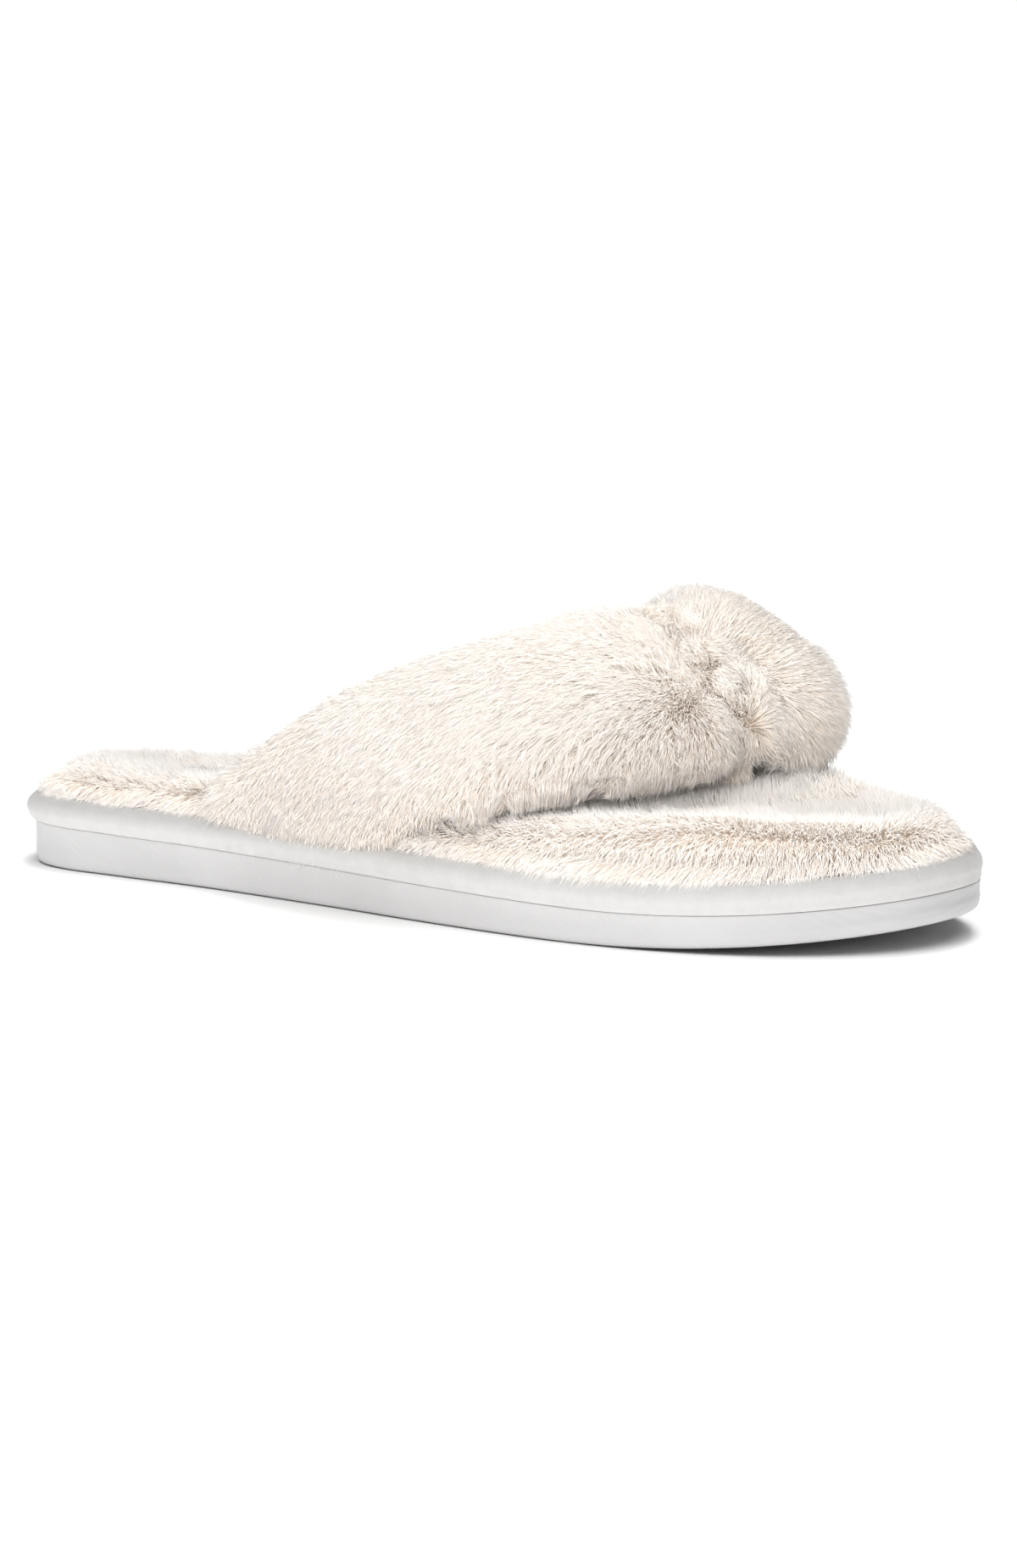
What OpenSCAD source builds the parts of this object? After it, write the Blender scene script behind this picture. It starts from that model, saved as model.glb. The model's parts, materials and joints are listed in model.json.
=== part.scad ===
// Fluffy thong slipper (right foot). Heel at -X, toe at +X, inner side of the foot at +Y.
// The sole is a wedge outsole, a rand-wrapped midsole, a board, a foam pad and a pile cover.
// Two padded pile straps rise from the sides and meet in a webbing loop over the toe post.

/* [Sole] */
// Length of the sole from heel to toe
sole_len = 255; // [240:1:270]
// Greatest width of the sole across the ball of the foot
ball_w = 94; // [90:1:98]
// Thickness of the outsole under the heel
outsole_heel = 11.2; // [10:0.1:13]
// Thickness of the outsole under the toes
outsole_toe = 6.8; // [6:0.1:8]
// Height that the tip of the toe is lifted off the floor
toe_spring = 6.5; // [4:0.5:8]
// Depth of the tread grooves
tread_depth = 1.6; // [1:0.1:2.4]
// Distance from one tread groove to the next
tread_pitch = 11; // [9:0.5:14]

/* [Rand] */
// Height of the padded rand above the outsole
rand_h = 7.2; // [7:0.1:7.8]
// How far the rand stands out over the outsole at the heel
rand_over_heel = 2; // [0.5:0.1:2.4]
// How far the rand stands out over the outsole at the toe
rand_over_toe = 0.4; // [0:0.1:1.5]
// Thickness of the rand fabric
rand_skin = 1.1; // [0.9:0.1:1.3]

/* [Footbed] */
// Height of the foam pad in the middle
foam_h = 4.2; // [3:0.1:5]
// Depth of the pile on the footbed
footbed_pile = 4.6; // [4:0.1:5.5]
// Length of the blank label on the heel seat
label_len = 24; // [18:1:30]
// Width of the blank label on the heel seat
label_w = 14; // [10:1:18]

/* [Strap] */
// Thickness of the pile and its backing on the straps
strap_pile = 4.2; // [3.6:0.1:4.4]
// Thickness of the strap lining
lining_t = 1.2; // [1:0.1:1.4]
// Extra height of the strap over the instep
strap_lift = 0; // [0:0.5:4]
// Outer radius of the covered toe post
post_r = 5; // [4.5:0.1:5.6]
// Radius of the webbing stem inside the toe post
stem_r = 2.8; // [2.4:0.1:3]
// Radius of the anchor washer under the board
anchor_r = 9; // [7:0.5:11]

/* [Detail] */
// Number of outline points along each side of the sole
side_points = 40; // [30:2:44]
// Number of sections along each strap
strap_sections = 26; // [20:1:30]

/* [Hidden] */

kx = sole_len / 255;
ky = ball_w / 94;
M = side_points;
N = 2 * M;

// ---- small helpers -------------------------------------------------------
function lerp(a, b, t) = a + (b - a) * t;
function clamp(v, lo, hi) = max(lo, min(hi, v));
function unit(v) = v / norm(v);
function smooth(a, b, v) = let (t = clamp((v - a) / (b - a), 0, 1)) t * t * (3 - 2 * t);
function slot(xs, v, i = 0) = (i >= len(xs) - 2 || v <= xs[i + 1]) ? i : slot(xs, v, i + 1);
function slope(xs, ys, i) =
    i == 0 ? (ys[1] - ys[0]) / (xs[1] - xs[0]) :
    i == len(xs) - 1 ? (ys[i] - ys[i - 1]) / (xs[i] - xs[i - 1]) :
    (ys[i + 1] - ys[i - 1]) / (xs[i + 1] - xs[i - 1]);
// smooth curve through a table of values, which may be numbers or points
function curve(xs, ys, v) =
    let (i = slot(xs, v), h = xs[i + 1] - xs[i], t = clamp((v - xs[i]) / h, 0, 1),
         m0 = slope(xs, ys, i) * h, m1 = slope(xs, ys, i + 1) * h)
    (2 * t * t * t - 3 * t * t + 1) * ys[i] + (t * t * t - 2 * t * t + t) * m0
    + (3 * t * t - 2 * t * t * t) * ys[i + 1] + (t * t * t - t * t) * m1;

// ---- outline of the sole -------------------------------------------------
// Fullness of each side at stations along the length: half width = fullness * sqrt(s * (1 - s)).
ST = [0, 0.03, 0.08, 0.14, 0.25, 0.4, 0.55, 0.68, 0.78, 0.87, 0.94, 1];
FULL_OUTER = [124, 118, 98, 81, 70, 73.5, 86, 100, 110, 117, 121, 126];
FULL_INNER = [124, 118, 98, 83, 71, 68, 80, 98, 112, 122, 124, 120];
function side_x(i) = sole_len * (1 - cos(180 * i / M)) / 2;
function half_w(tab, x) = let (s = clamp(x / sole_len, 0, 1)) ky * curve(ST, tab, s) * sqrt(max(0, s * (1 - s)));
function wrap(i) = (i % N + N) % N;
function rim(i) = let (j = wrap(i), x = side_x(j <= M ? j : N - j))
    j <= M ? [x, -half_w(FULL_OUTER, x)] : [x, half_w(FULL_INNER, x)];
function rim_in(i) = let (t = unit(rim(i + 1) - rim(i - 1))) [-t[1], t[0]];
RIM = [for (i = [0:N - 1]) rim(i)];
RIN = [for (i = [0:N - 1]) rim_in(i)];
// point on the rim moved inward by u
function rim_at(i, u) = RIM[wrap(i)] + u * RIN[wrap(i)];

// ---- heights -------------------------------------------------------------
function z_under(x) = toe_spring * pow(clamp((x / kx - 175) / 80, 0, 1.2), 2);
function z_deck(x) = z_under(x) + lerp(outsole_heel, outsole_toe, clamp(x / sole_len, 0, 1));
function over(x) = lerp(rand_over_heel, rand_over_toe, clamp(x / sole_len, 0, 1));

// moves the part so that its own origin is at the middle of its box, on the floor
module placed() { translate([-X0, -Y0, 0]) children(); }

// ---- solids from loops ---------------------------------------------------
// loops: list of [inset, height, base] from the middle of the underside, out and over to the middle
// of the top; base 0 counts height from the underside of the outsole, base 1 from its deck.
// A fourth number is extra inset beside the strap ends, a fifth is extra height under the toes.
function strap_gap(i) = let (x = rim(i)[0] / kx, side = wrap(i) <= M ? 0 : 8)
    smooth(52 + side, 63 + side, x) * (1 - smooth(119 + side / 2, 131 + side / 2, x));
function toe_puff(x) = curve([0, 130, 170, 205, 228, 255], [0, 0, 0.85, 1.35, 0.9, 0.4], clamp(x / kx, 0, 255));
function loop_pt(i, l) =
    let (u = l[0] + (len(l) > 3 ? l[3] * strap_gap(i) : 0), p = rim_at(i, u))
    [p[0], p[1], (l[2] == 0 ? z_under(p[0]) : z_deck(p[0])) + l[1] + (len(l) > 4 ? l[4] * toe_puff(p[0]) : 0)];
module slab(loops) {
    K = len(loops);
    polyhedron(
        points = [for (l = loops) for (i = [0:N - 1]) loop_pt(i, l)],
        faces = concat(
            [for (k = [0:K - 2]) for (i = [0:N - 1])
                let (a = k * N + i, b = k * N + (i + 1) % N, c = b + N, d = a + N) each [[a, d, b], [b, d, c]]],
            [[0, 1, N - 1]], [[M - 1, M, M + 1]],
            [for (i = [1:M - 2]) each [[i, i + 1, N - i], [i + 1, N - i - 1, N - i]]],
            let (o = (K - 1) * N) [[o, o + N - 1, o + 1], [o + M - 1, o + M + 1, o + M]],
            let (o = (K - 1) * N) [for (i = [1:M - 2]) each [[o + i, o + N - i, o + i + 1], [o + i + 1, o + N - i, o + N - i - 1]]]
        ));
}
// a closed band that runs round the rim; sec(i) gives its section as [inset, height] points
module rim_band(secs) {
    K = len(secs[0]);
    polyhedron(
        points = [for (i = [0:N - 1]) for (q = secs[i]) let (p = rim_at(i, q[0])) [p[0], p[1], z_deck(p[0]) + q[1]]],
        faces = [for (i = [0:N - 1]) for (k = [0:K - 1])
            let (a = i * K + k, b = i * K + (k + 1) % K, c = ((i + 1) % N) * K + (k + 1) % K, d = ((i + 1) % N) * K + k)
            each [[a, b, d], [b, c, d]]]);
}
// an open run of equal closed sections; caps joins opposite points of the end sections in strips
module run(secs) {
    R = len(secs);
    K = len(secs[0]);
    h = K / 2;
    polyhedron(
        points = [for (s = secs) each s],
        faces = concat(
            [for (r = [0:R - 2]) for (k = [0:K - 1])
                let (a = r * K + k, b = r * K + (k + 1) % K, c = (r + 1) * K + (k + 1) % K, d = (r + 1) * K + k)
                each [[a, d, b], [b, d, c]]],
            [for (k = [0:h - 2]) each [[k, k + 1, K - 1 - k], [k + 1, K - 2 - k, K - 1 - k]]],
            let (o = (R - 1) * K) [for (k = [0:h - 2]) each [[o + k, o + K - 1 - k, o + k + 1], [o + k + 1, o + K - 1 - k, o + K - 2 - k]]]
        ));
}

// ---- sole ----------------------------------------------------------------
module outsole() {
    color([0.86, 0.855, 0.85]) placed() difference() {
        slab([[2.6, 0, 0], [0.9, 0.25, 0], [0.1, 1.3, 0], [-0.15, 3, 0], [0, -0.5, 1], [0.4, 0, 1]]);
        // cross grooves of the tread, in two banks under the heel and under the ball
        for (x = [26 * kx : tread_pitch : 86 * kx]) groove(x, 34 * ky);
        for (x = [126 * kx : tread_pitch : 172 * kx]) groove(x, 56 * ky);
    }
}
module groove(x, w) {
    translate([x, 0, -1]) linear_extrude(1 + tread_depth)
        polygon([[-1.2, -w / 2], [1.2, -w / 2], [3.7, 0], [1.2, w / 2], [-1.2, w / 2], [1.3, 0]]);
}

MID_TOP = 5.3;
module midsole() {
    color([0.95, 0.93, 0.88]) placed() difference() {
        slab([[3.9, 0.1, 1], [3.6, 0.6, 1], [3.6, MID_TOP - 0.5, 1], [4, MID_TOP, 1]]);
        for (side = [0, 1]) tab_pocket(side);
        translate([POST[0], POST[1], z_deck(POST[0]) + MID_TOP - 2.4]) cylinder(r = anchor_r + 0.3, h = 6, $fn = 64);
    }
}

// section of the rand fabric, out and back, as [inset, height]
function rand_out(o) = [[3.3, 0.08], [1, 0.1], [0.1 - o * 0.5, 0.7], [-o, 2.1], [-o - 0.25, 3.6], [-o * 0.7, 5.3], [0.7, rand_h - 0.5], [2.6, rand_h], [4.1, rand_h - 0.4], [4.9, rand_h - 1.05]];
function rand_inn(o) = let (t = rand_skin) [[3.3, 0.08 + t], [1.4, 0.1 + t], [0.1 - o * 0.5 + t, 1.7], [-o + t, 2.7], [-o - 0.25 + t, 3.6], [-o * 0.7 + t + 0.1, 4.7], [1.3, rand_h - 0.4 - t], [2.5, rand_h - t - 0.1], [3.4, rand_h - 0.5 - t * 0.7], [4.2, rand_h - 1.15]];
function flip(v) = [for (i = [len(v) - 1 : -1 : 0]) v[i]];
module rand_cover() {
    color([0.93, 0.925, 0.91]) placed()
        rim_band([for (i = [0:N - 1]) let (o = over(RIM[i][0])) concat(rand_out(o), flip(rand_inn(o)))]);
}
module rand_padding() {
    color([0.97, 0.96, 0.92]) placed()
        rim_band([for (i = [0:N - 1]) let (o = over(RIM[i][0]), t = rand_skin + 0.12)
            [[3.35, 0.2 + t], [1.5, 0.22 + t], [0.1 - o * 0.5 + t + 0.1, 1.8], [-o + t, 2.8], [-o - 0.25 + t, 3.6], [-o * 0.7 + t + 0.2, 4.6], [1.4, rand_h - 0.6 - t], [2.5, rand_h - t - 0.3], [3.35, rand_h - 0.85 - t]]]);
}

BOARD_TOP = 6.7;
module insole_board() {
    color([0.82, 0.72, 0.58]) placed() difference() {
        slab([[7.2, MID_TOP + 0.1, 1], [7, MID_TOP + 0.2, 1], [7, BOARD_TOP - 0.1, 1], [7.2, BOARD_TOP, 1]]);
        translate([POST[0], POST[1], 0]) cylinder(r = stem_r + 0.25, h = 40, $fn = 48);
    }
}
FOAM_BASE = BOARD_TOP + 0.1;
module footbed_foam() {
    color([0.98, 0.93, 0.8]) placed() difference() {
        slab([[8.6, FOAM_BASE, 1, 7], [8, FOAM_BASE + 0.4, 1, 7], [8.4, FOAM_BASE + 1.4, 1, 7, 0.4], [9.6, FOAM_BASE + 2.4, 1, 6.5, 0.8],
              [12, FOAM_BASE + foam_h * 0.82, 1, 5.5, 1.6], [16, FOAM_BASE + foam_h, 1, 3, 2]]);
        translate([POST[0], POST[1], 0]) cylinder(r = stem_r + 0.25, h = 40, $fn = 48);
    }
}
PILE_TOP = FOAM_BASE + foam_h + footbed_pile - 1.4;
module footbed_pile_cover() {
    color([0.97, 0.955, 0.93]) placed() difference() {
        slab([[16, FOAM_BASE + foam_h + 0.12, 1, 3, 2], [11.9, FOAM_BASE + foam_h * 0.82 + 0.2, 1, 5.5, 1.6], [9.3, FOAM_BASE + 2.6, 1, 6.5, 0.8],
              [8.15, FOAM_BASE + 1.4, 1, 7, 0.4], [7.85, FOAM_BASE + 0.3, 1, 7], [7.2, FOAM_BASE, 1, 7], [6.6, FOAM_BASE + 0.2, 1, 8],
              [5.3, FOAM_BASE + 1.2, 1, 9.4, 0.3], [5, FOAM_BASE + 2.6, 1, 9.7, 1], [5.8, FOAM_BASE + 4.4, 1, 9.5, 2.4], [7.8, FOAM_BASE + 6.1, 1, 8.5, 3.8],
              [10.5, PILE_TOP - 0.4, 1, 7.5, 4.6], [14.5, PILE_TOP, 1, 5, 4.8], [23, PILE_TOP - 1.2, 1, 3, 3.2]]);
        translate([POST[0], POST[1], 0]) cylinder(r = stem_r + 0.25, h = 40, $fn = 48);
    }
}
module heel_label() {
    color([0.9, 0.91, 0.93]) placed() {
        x = 46 * kx;
        translate([x, 1, z_deck(x) + PILE_TOP - 0.5])
            rotate([0, atan((outsole_heel - outsole_toe) / sole_len), 0])
            linear_extrude(0.6) hull() for (sx = [-1, 1]) for (sy = [-1, 1])
                translate([sx * (label_len / 2 - 1.5), sy * (label_w / 2 - 1.5)]) circle(r = 1.5, $fn = 32);
    }
}
// lockstitch line that joins the rand fabric to the edge of the pile cover
module welt_thread() {
    color([0.9, 0.88, 0.84]) placed()
        rim_band([for (i = [0:N - 1]) [for (k = [0:5]) [5.25 + 0.22 * cos(60 * k), rand_h - 0.7 - 0.3 * sin(60 * k)]]]);
}

// ---- straps --------------------------------------------------------------
// Each row: rear edge, front edge, half thickness of the pile side. Heights are above the floor.
POST = [188 * kx, 14 * ky];
OUTER = [
    [[62, -21, 18.2], [126, -33, 17], 7],
    [[73, -26, 28], [133, -37, 22], 9],
    [[91, -29, 40], [144, -39, 26], 11],
    [[112, -27, 52], [157, -34, 29], 12],
    [[131, -20, 60], [171, -23, 31], 13],
    [[146, -8, 65], [184, -8, 33], 13.5],
    [[156, 3, 67.5], [192, 3, 35], 12.5],
    [[165, 9.4, 63.2], [188.7, 9.4, 41.4], 5.1],
    [[165, 13.8, 63], [188.5, 13.8, 41.5], 5]];
INNER = [
    [[72, 24, 18.2], [130, 31, 17], 7],
    [[84, 25.5, 30], [142, 34.5, 23.5], 9],
    [[107, 26.5, 45], [161, 33, 28.5], 11],
    [[132, 28, 57.5], [184, 32.5, 31.5], 14.3],
    [[152, 29, 64.5], [201, 31.5, 34.5], 19.5],
    [[159, 24.5, 66], [205, 25.5, 37], 17.5],
    [[165, 18.6, 63.2], [188.7, 18.6, 41.4], 5.1],
    [[165, 14.2, 63], [188.5, 14.2, 41.5], 5]];
function stretch(p) = [p[0] * kx, p[1] * ky, p[2] + strap_lift * smooth(22, 60, p[2])];
function arm_keys(tab) = [for (i = [0:len(tab) - 1]) i];
function arm_edge(tab, t, e) = curve(arm_keys(tab), [for (r = tab) stretch(r[e])], t);
function arm_b(tab, t) = curve(arm_keys(tab), [for (r = tab) r[2]], t);
function arm_t(tab, r) = (len(tab) - 1) * r / strap_sections;
function arm_mid(tab, t) = (arm_edge(tab, t, 0) + arm_edge(tab, t, 1)) / 2;
function sgnpow(v, p) = (v < 0 ? -1 : 1) * pow(abs(v), p);
// unit vectors of the section at t: along the width, and out through the pile face
function arm_w(tab, t) = unit(arm_edge(tab, t, 1) - arm_edge(tab, t, 0));
function arm_n(tab, t) =
    let (w = arm_w(tab, t), last = len(tab) - 1,
         d = t < 0.02 ? [0, 0, 1] : t > last - 1 ? [0, tab[0][0][1] < 0 ? 1 : -1, 0] : arm_mid(tab, min(last, t + 0.15)) - arm_mid(tab, t - 0.02),
         s = tab[0][0][1] < 0 ? 1 : -1, c = s * cross(w, d))
    unit(c);
// section point at angle f (0 front edge, 90 pile face, 180 rear edge, 270 foot side), u in from the surface
function arm_pt(tab, t, f, u) =
    let (c = arm_mid(tab, t), w = arm_w(tab, t), n = arm_n(tab, t),
         a = norm(arm_edge(tab, t, 1) - arm_edge(tab, t, 0)) / 2,
         thick = arm_b(tab, t), b = sin(f) < 0 ? lerp(thick, 5, 0.6 * smooth(7, 12, thick)) : thick)
    c + max(0.6, a - u) * sgnpow(cos(f), 0.8) * w + max(0.35, b - u) * sgnpow(sin(f), 0.8) * n;
F_LO = -34;
F_HI = 214;
PILE_STEPS = 12;
LINE_STEPS = 7;
function strip_angles(lo, hi, n) = [for (k = [0:n]) lerp(lo, hi, k / n)];
function mirror_order(tab, v) = tab[0][0][1] < 0 ? v : flip(v);
function pile_sec(tab, t) = concat(
    [for (f = strip_angles(F_LO, F_HI, PILE_STEPS)) arm_pt(tab, t, f, 0)],
    [for (f = strip_angles(F_HI, F_LO, PILE_STEPS)) arm_pt(tab, t, f, strap_pile)]);
function lining_sec(tab, t) = concat(
    [for (f = strip_angles(F_HI + 1.5, 360 + F_LO - 1.5, LINE_STEPS)) arm_pt(tab, t, f, 0.3)],
    [for (f = strip_angles(360 + F_LO - 1.5, F_HI + 1.5, LINE_STEPS)) arm_pt(tab, t, f, 0.3 + lining_t)]);
function pad_sec(tab, t) = [for (f = [0:22.5:337.5]) arm_pt(tab, t, f, strap_pile + 0.5)];
function arm_secs(tab, kind) = [for (r = [0:strap_sections]) let (t = arm_t(tab, r), q = kind == 0 ? pile_sec(tab, t) : kind == 1 ? lining_sec(tab, t) : pad_sec(tab, t)) tab[0][0][1] < 0 ? flip(q) : q];
// Middle of the part's box, which the sole sets in length and the inner strap sets in width
X0 = (sole_len + rand_over_toe - rand_over_heel) / 2;
Y_LO = min([for (i = [0:N - 1]) RIM[i][1]]) - over(0.7 * sole_len) - 0.25;
Y_HI = max(max([for (i = [0:N - 1]) RIM[i][1]]) + over(0.76 * sole_len),
    max([for (r = [0:strap_sections]) for (f = strip_angles(F_LO, F_HI, PILE_STEPS)) arm_pt(INNER, arm_t(INNER, r), f, 0)[1]]));
Y0 = (Y_LO + Y_HI) / 2;

module strap_pile_cover_outer() { color([0.98, 0.96, 0.93]) placed() run(arm_secs(OUTER, 0)); }
module strap_pile_cover_inner() { color([0.96, 0.94, 0.91]) placed() run(arm_secs(INNER, 0)); }
module strap_lining_outer() { color([0.92, 0.89, 0.84]) placed() run(arm_secs(OUTER, 1)); }
module strap_lining_inner() { color([0.92, 0.89, 0.84]) placed() run(arm_secs(INNER, 1)); }
module strap_padding_outer() { color([1, 0.95, 0.75]) placed() run(arm_secs(OUTER, 2)); }
module strap_padding_inner() { color([1, 0.95, 0.75]) placed() run(arm_secs(INNER, 2)); }

// tape that holds a strap end: it runs down behind the rand and in under the board
function tab_i(side, k) = let (lo = side == 0 ? 74 : 82, hi = side == 0 ? 118 : 126, x = lerp(lo, hi, k / 8) * kx,
    j = acos(1 - 2 * x / sole_len) * M / 180) side == 0 ? j : N - j;
function rim_f(j) = let (x = side_x(j <= M ? j : N - j)) j <= M ? [x, -half_w(FULL_OUTER, x)] : [x, half_w(FULL_INNER, x)];
function rim_f_at(j, u) = let (t = unit(rim_f(j + 0.2) - rim_f(j - 0.2))) rim_f(j) + u * [-t[1], t[0]];
module tab_run(side, sec) {
    run([for (k = [0:8]) let (j = tab_i(side, k), q = [for (s = sec) let (p = rim_f_at(j, s[0])) [p[0], p[1], z_deck(p[0]) + s[1]]]) side == 0 ? q : flip(q)]);
}
module strap_tab(side) {
    tab_run(side, [[5.5, 7.5], [5.5, 6], [5.5, 4.45], [24, 4.45], [24, 5.25], [6.3, 5.25], [6.3, 6], [6.3, 7.5]]);
}
module tab_pocket(side) {
    tab_run(side, [[5.3, 4.35], [26, 4.35], [26, 6.5], [5.3, 6.5]]);
}
module strap_tab_outer() { color([0.88, 0.86, 0.82]) placed() strap_tab(0); }
module strap_tab_inner() { color([0.88, 0.86, 0.82]) placed() strap_tab(1); }

// ---- toe post ------------------------------------------------------------
// webbing: a loop round the gathered middle of the strap, with a stem down through the footbed
LOOP_R = stretch([165, 14, 63]);
LOOP_F = stretch([188.5, 14, 41.5]);
function loop_2d(g) = let (r = [LOOP_R[0], LOOP_R[2]], f = [LOOP_F[0], LOOP_F[2]], c = (r + f) / 2, w = unit(f - r), n = [-w[1], w[0]], a = norm(f - r) / 2 + g, b = 5 + g)
    [for (k = [0:35]) c + a * sgnpow(cos(10 * k), 0.8) * w + b * sgnpow(sin(10 * k), 0.8) * n];
STEM_Z = z_deck(POST[0]) + MID_TOP - 0.05;
POST_TOP = LOOP_F[2] - 4.2;
POST_FOOT = z_deck(POST[0]) + PILE_TOP + 3.2 * toe_puff(POST[0]) - 0.6;
module thong_webbing() {
    color([0.9, 0.87, 0.82]) placed() union() {
        translate([0, POST[1] + 2.6, 0]) rotate([90, 0, 0]) linear_extrude(5.2)
            difference() { polygon(loop_2d(2.8)); polygon(loop_2d(1.1)); }
        translate([POST[0], POST[1], STEM_Z]) cylinder(r = stem_r, h = LOOP_F[2] - 2.2 - STEM_Z, $fn = 48);
    }
}
module toe_post_cover() {
    color([0.97, 0.95, 0.92]) placed()
        translate([POST[0], POST[1], POST_FOOT]) difference() {
            cylinder(r = post_r, h = POST_TOP - POST_FOOT, $fn = 64);
            translate([0, 0, -1]) cylinder(r = stem_r + 0.1, h = 40, $fn = 48);
        }
}
module thong_anchor() {
    color([0.75, 0.75, 0.76]) placed()
        translate([POST[0], POST[1], STEM_Z - 2.1]) cylinder(r = anchor_r, h = 2, $fn = 64);
}

outsole();
midsole();
rand_cover();
rand_padding();
insole_board();
footbed_foam();
footbed_pile_cover();
heel_label();
welt_thread();
strap_pile_cover_outer();
strap_pile_cover_inner();
strap_padding_outer();
strap_padding_inner();
strap_lining_outer();
strap_lining_inner();
strap_tab_outer();
strap_tab_inner();
thong_webbing();
toe_post_cover();
thong_anchor();
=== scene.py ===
import json
import math
import bpy
import bmesh
import numpy as np
from mathutils import Matrix, Vector
from mathutils.bvhtree import BVHTree

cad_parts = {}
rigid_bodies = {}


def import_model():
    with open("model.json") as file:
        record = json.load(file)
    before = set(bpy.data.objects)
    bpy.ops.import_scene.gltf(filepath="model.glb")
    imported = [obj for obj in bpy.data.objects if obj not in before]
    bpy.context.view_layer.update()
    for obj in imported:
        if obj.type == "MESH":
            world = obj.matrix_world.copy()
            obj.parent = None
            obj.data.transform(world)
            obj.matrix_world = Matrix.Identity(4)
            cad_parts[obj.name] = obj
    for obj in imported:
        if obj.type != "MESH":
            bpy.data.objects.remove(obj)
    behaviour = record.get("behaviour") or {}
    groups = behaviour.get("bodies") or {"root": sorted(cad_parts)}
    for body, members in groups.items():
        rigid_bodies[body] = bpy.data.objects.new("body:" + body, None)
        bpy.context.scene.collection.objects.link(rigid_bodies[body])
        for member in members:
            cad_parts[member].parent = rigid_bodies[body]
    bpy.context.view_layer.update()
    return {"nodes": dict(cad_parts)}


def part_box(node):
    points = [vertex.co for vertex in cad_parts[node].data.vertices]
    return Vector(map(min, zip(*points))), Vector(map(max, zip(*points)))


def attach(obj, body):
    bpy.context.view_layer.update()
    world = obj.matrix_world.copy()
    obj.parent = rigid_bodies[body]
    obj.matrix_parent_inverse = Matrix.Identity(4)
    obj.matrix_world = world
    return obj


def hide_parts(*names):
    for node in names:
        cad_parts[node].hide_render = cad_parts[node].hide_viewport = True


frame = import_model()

# ---------------------------------------------------------------------------
# A fluffy thong slipper for the right foot, dressed over its CAD frame.
# Shapes are worked out in millimetres in the sole's own axes (heel end x = 0, middle line y = 0,
# floor z = 0) and moved into the row frame by the place of the CAD outsole.
# ---------------------------------------------------------------------------
NODES = frame["nodes"]
SCENE = bpy.context.scene
RNG = np.random.default_rng(20240611)

L = 255.0
o_lo, o_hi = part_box("outsole")


def unit(v):
    return v / np.maximum(np.linalg.norm(v, axis=-1, keepdims=True), 1e-12)


def lerp(a, b, t):
    return a + (b - a) * t


def smooth(a, b, v):
    t = np.clip((np.asarray(v, float) - a) / (b - a), 0, 1)
    return t * t * (3 - 2 * t)


def curve(xs, ys, v):
    """The smooth curve of the CAD source through a table, for an array of places."""
    xs, ys, v = np.asarray(xs, float), np.asarray(ys, float), np.atleast_1d(np.asarray(v, float))
    m = np.empty_like(ys)
    if ys.ndim == 1:
        m[0], m[-1] = (ys[1] - ys[0]) / (xs[1] - xs[0]), (ys[-1] - ys[-2]) / (xs[-1] - xs[-2])
        m[1:-1] = (ys[2:] - ys[:-2]) / (xs[2:] - xs[:-2])
    else:
        dx = xs[:, None]
        m[0], m[-1] = (ys[1] - ys[0]) / (xs[1] - xs[0]), (ys[-1] - ys[-2]) / (xs[-1] - xs[-2])
        m[1:-1] = (ys[2:] - ys[:-2]) / (dx[2:] - dx[:-2])
    i = np.clip(np.searchsorted(xs, v, side="left") - 1, 0, len(xs) - 2)
    h = xs[i + 1] - xs[i]
    t = np.clip((v - xs[i]) / h, 0, 1)
    if ys.ndim > 1:
        t, h = t[:, None], h[:, None]
    return ((2 * t**3 - 3 * t**2 + 1) * ys[i] + (t**3 - 2 * t**2 + t) * m[i] * h
            + (3 * t**2 - 2 * t**3) * ys[i + 1] + (t**3 - t**2) * m[i + 1] * h)


# ---- smooth noise ----------------------------------------------------------
def _hash(ix, iy, iz, seed):
    m = np.int64(0xFFFFFFFF)
    h = (ix * 374761393 + iy * 668265263 + iz * 1442695041 + seed * 97463) & m
    h = ((h ^ (h >> 13)) * 1274126177) & m
    h = ((h ^ (h >> 16)) * 668265263) & m
    return (h & 0xFFFF) / 32767.5 - 1.0


def noise(p, size, seed=0):
    """Value noise from -1 to 1 at points p, with lumps of about size."""
    q = np.asarray(p, float) / size + 1000.0
    i = np.floor(q).astype(np.int64)
    f = q - i
    f = f * f * f * (f * (f * 6 - 15) + 10)
    out = 0.0
    for dx in (0, 1):
        wx = f[..., 0] if dx else 1 - f[..., 0]
        for dy in (0, 1):
            wy = f[..., 1] if dy else 1 - f[..., 1]
            for dz in (0, 1):
                wz = f[..., 2] if dz else 1 - f[..., 2]
                out = out + wx * wy * wz * _hash(i[..., 0] + dx, i[..., 1] + dy, i[..., 2] + dz, seed)
    return out


def noise3(p, size, seed=0):
    return np.stack([noise(p, size, seed + k * 17) for k in range(3)], -1)


def slope_of(p, size, seed=0):
    """Gradient of the noise, times its size."""
    e = size * 0.12
    g = []
    for k in range(3):
        d = np.zeros(3)
        d[k] = e
        g.append((noise(p + d, size, seed) - noise(p - d, size, seed)) / (2 * e) * size)
    return np.stack(g, -1)


# ---- outline of the sole, as in the CAD ------------------------------------
ST = [0, 0.03, 0.08, 0.14, 0.25, 0.4, 0.55, 0.68, 0.78, 0.87, 0.94, 1]
FULL_OUTER = [124, 118, 98, 81, 70, 73.5, 86, 100, 110, 117, 121, 126]
FULL_INNER = [124, 118, 98, 83, 71, 68, 80, 98, 112, 122, 124, 120]


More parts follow.
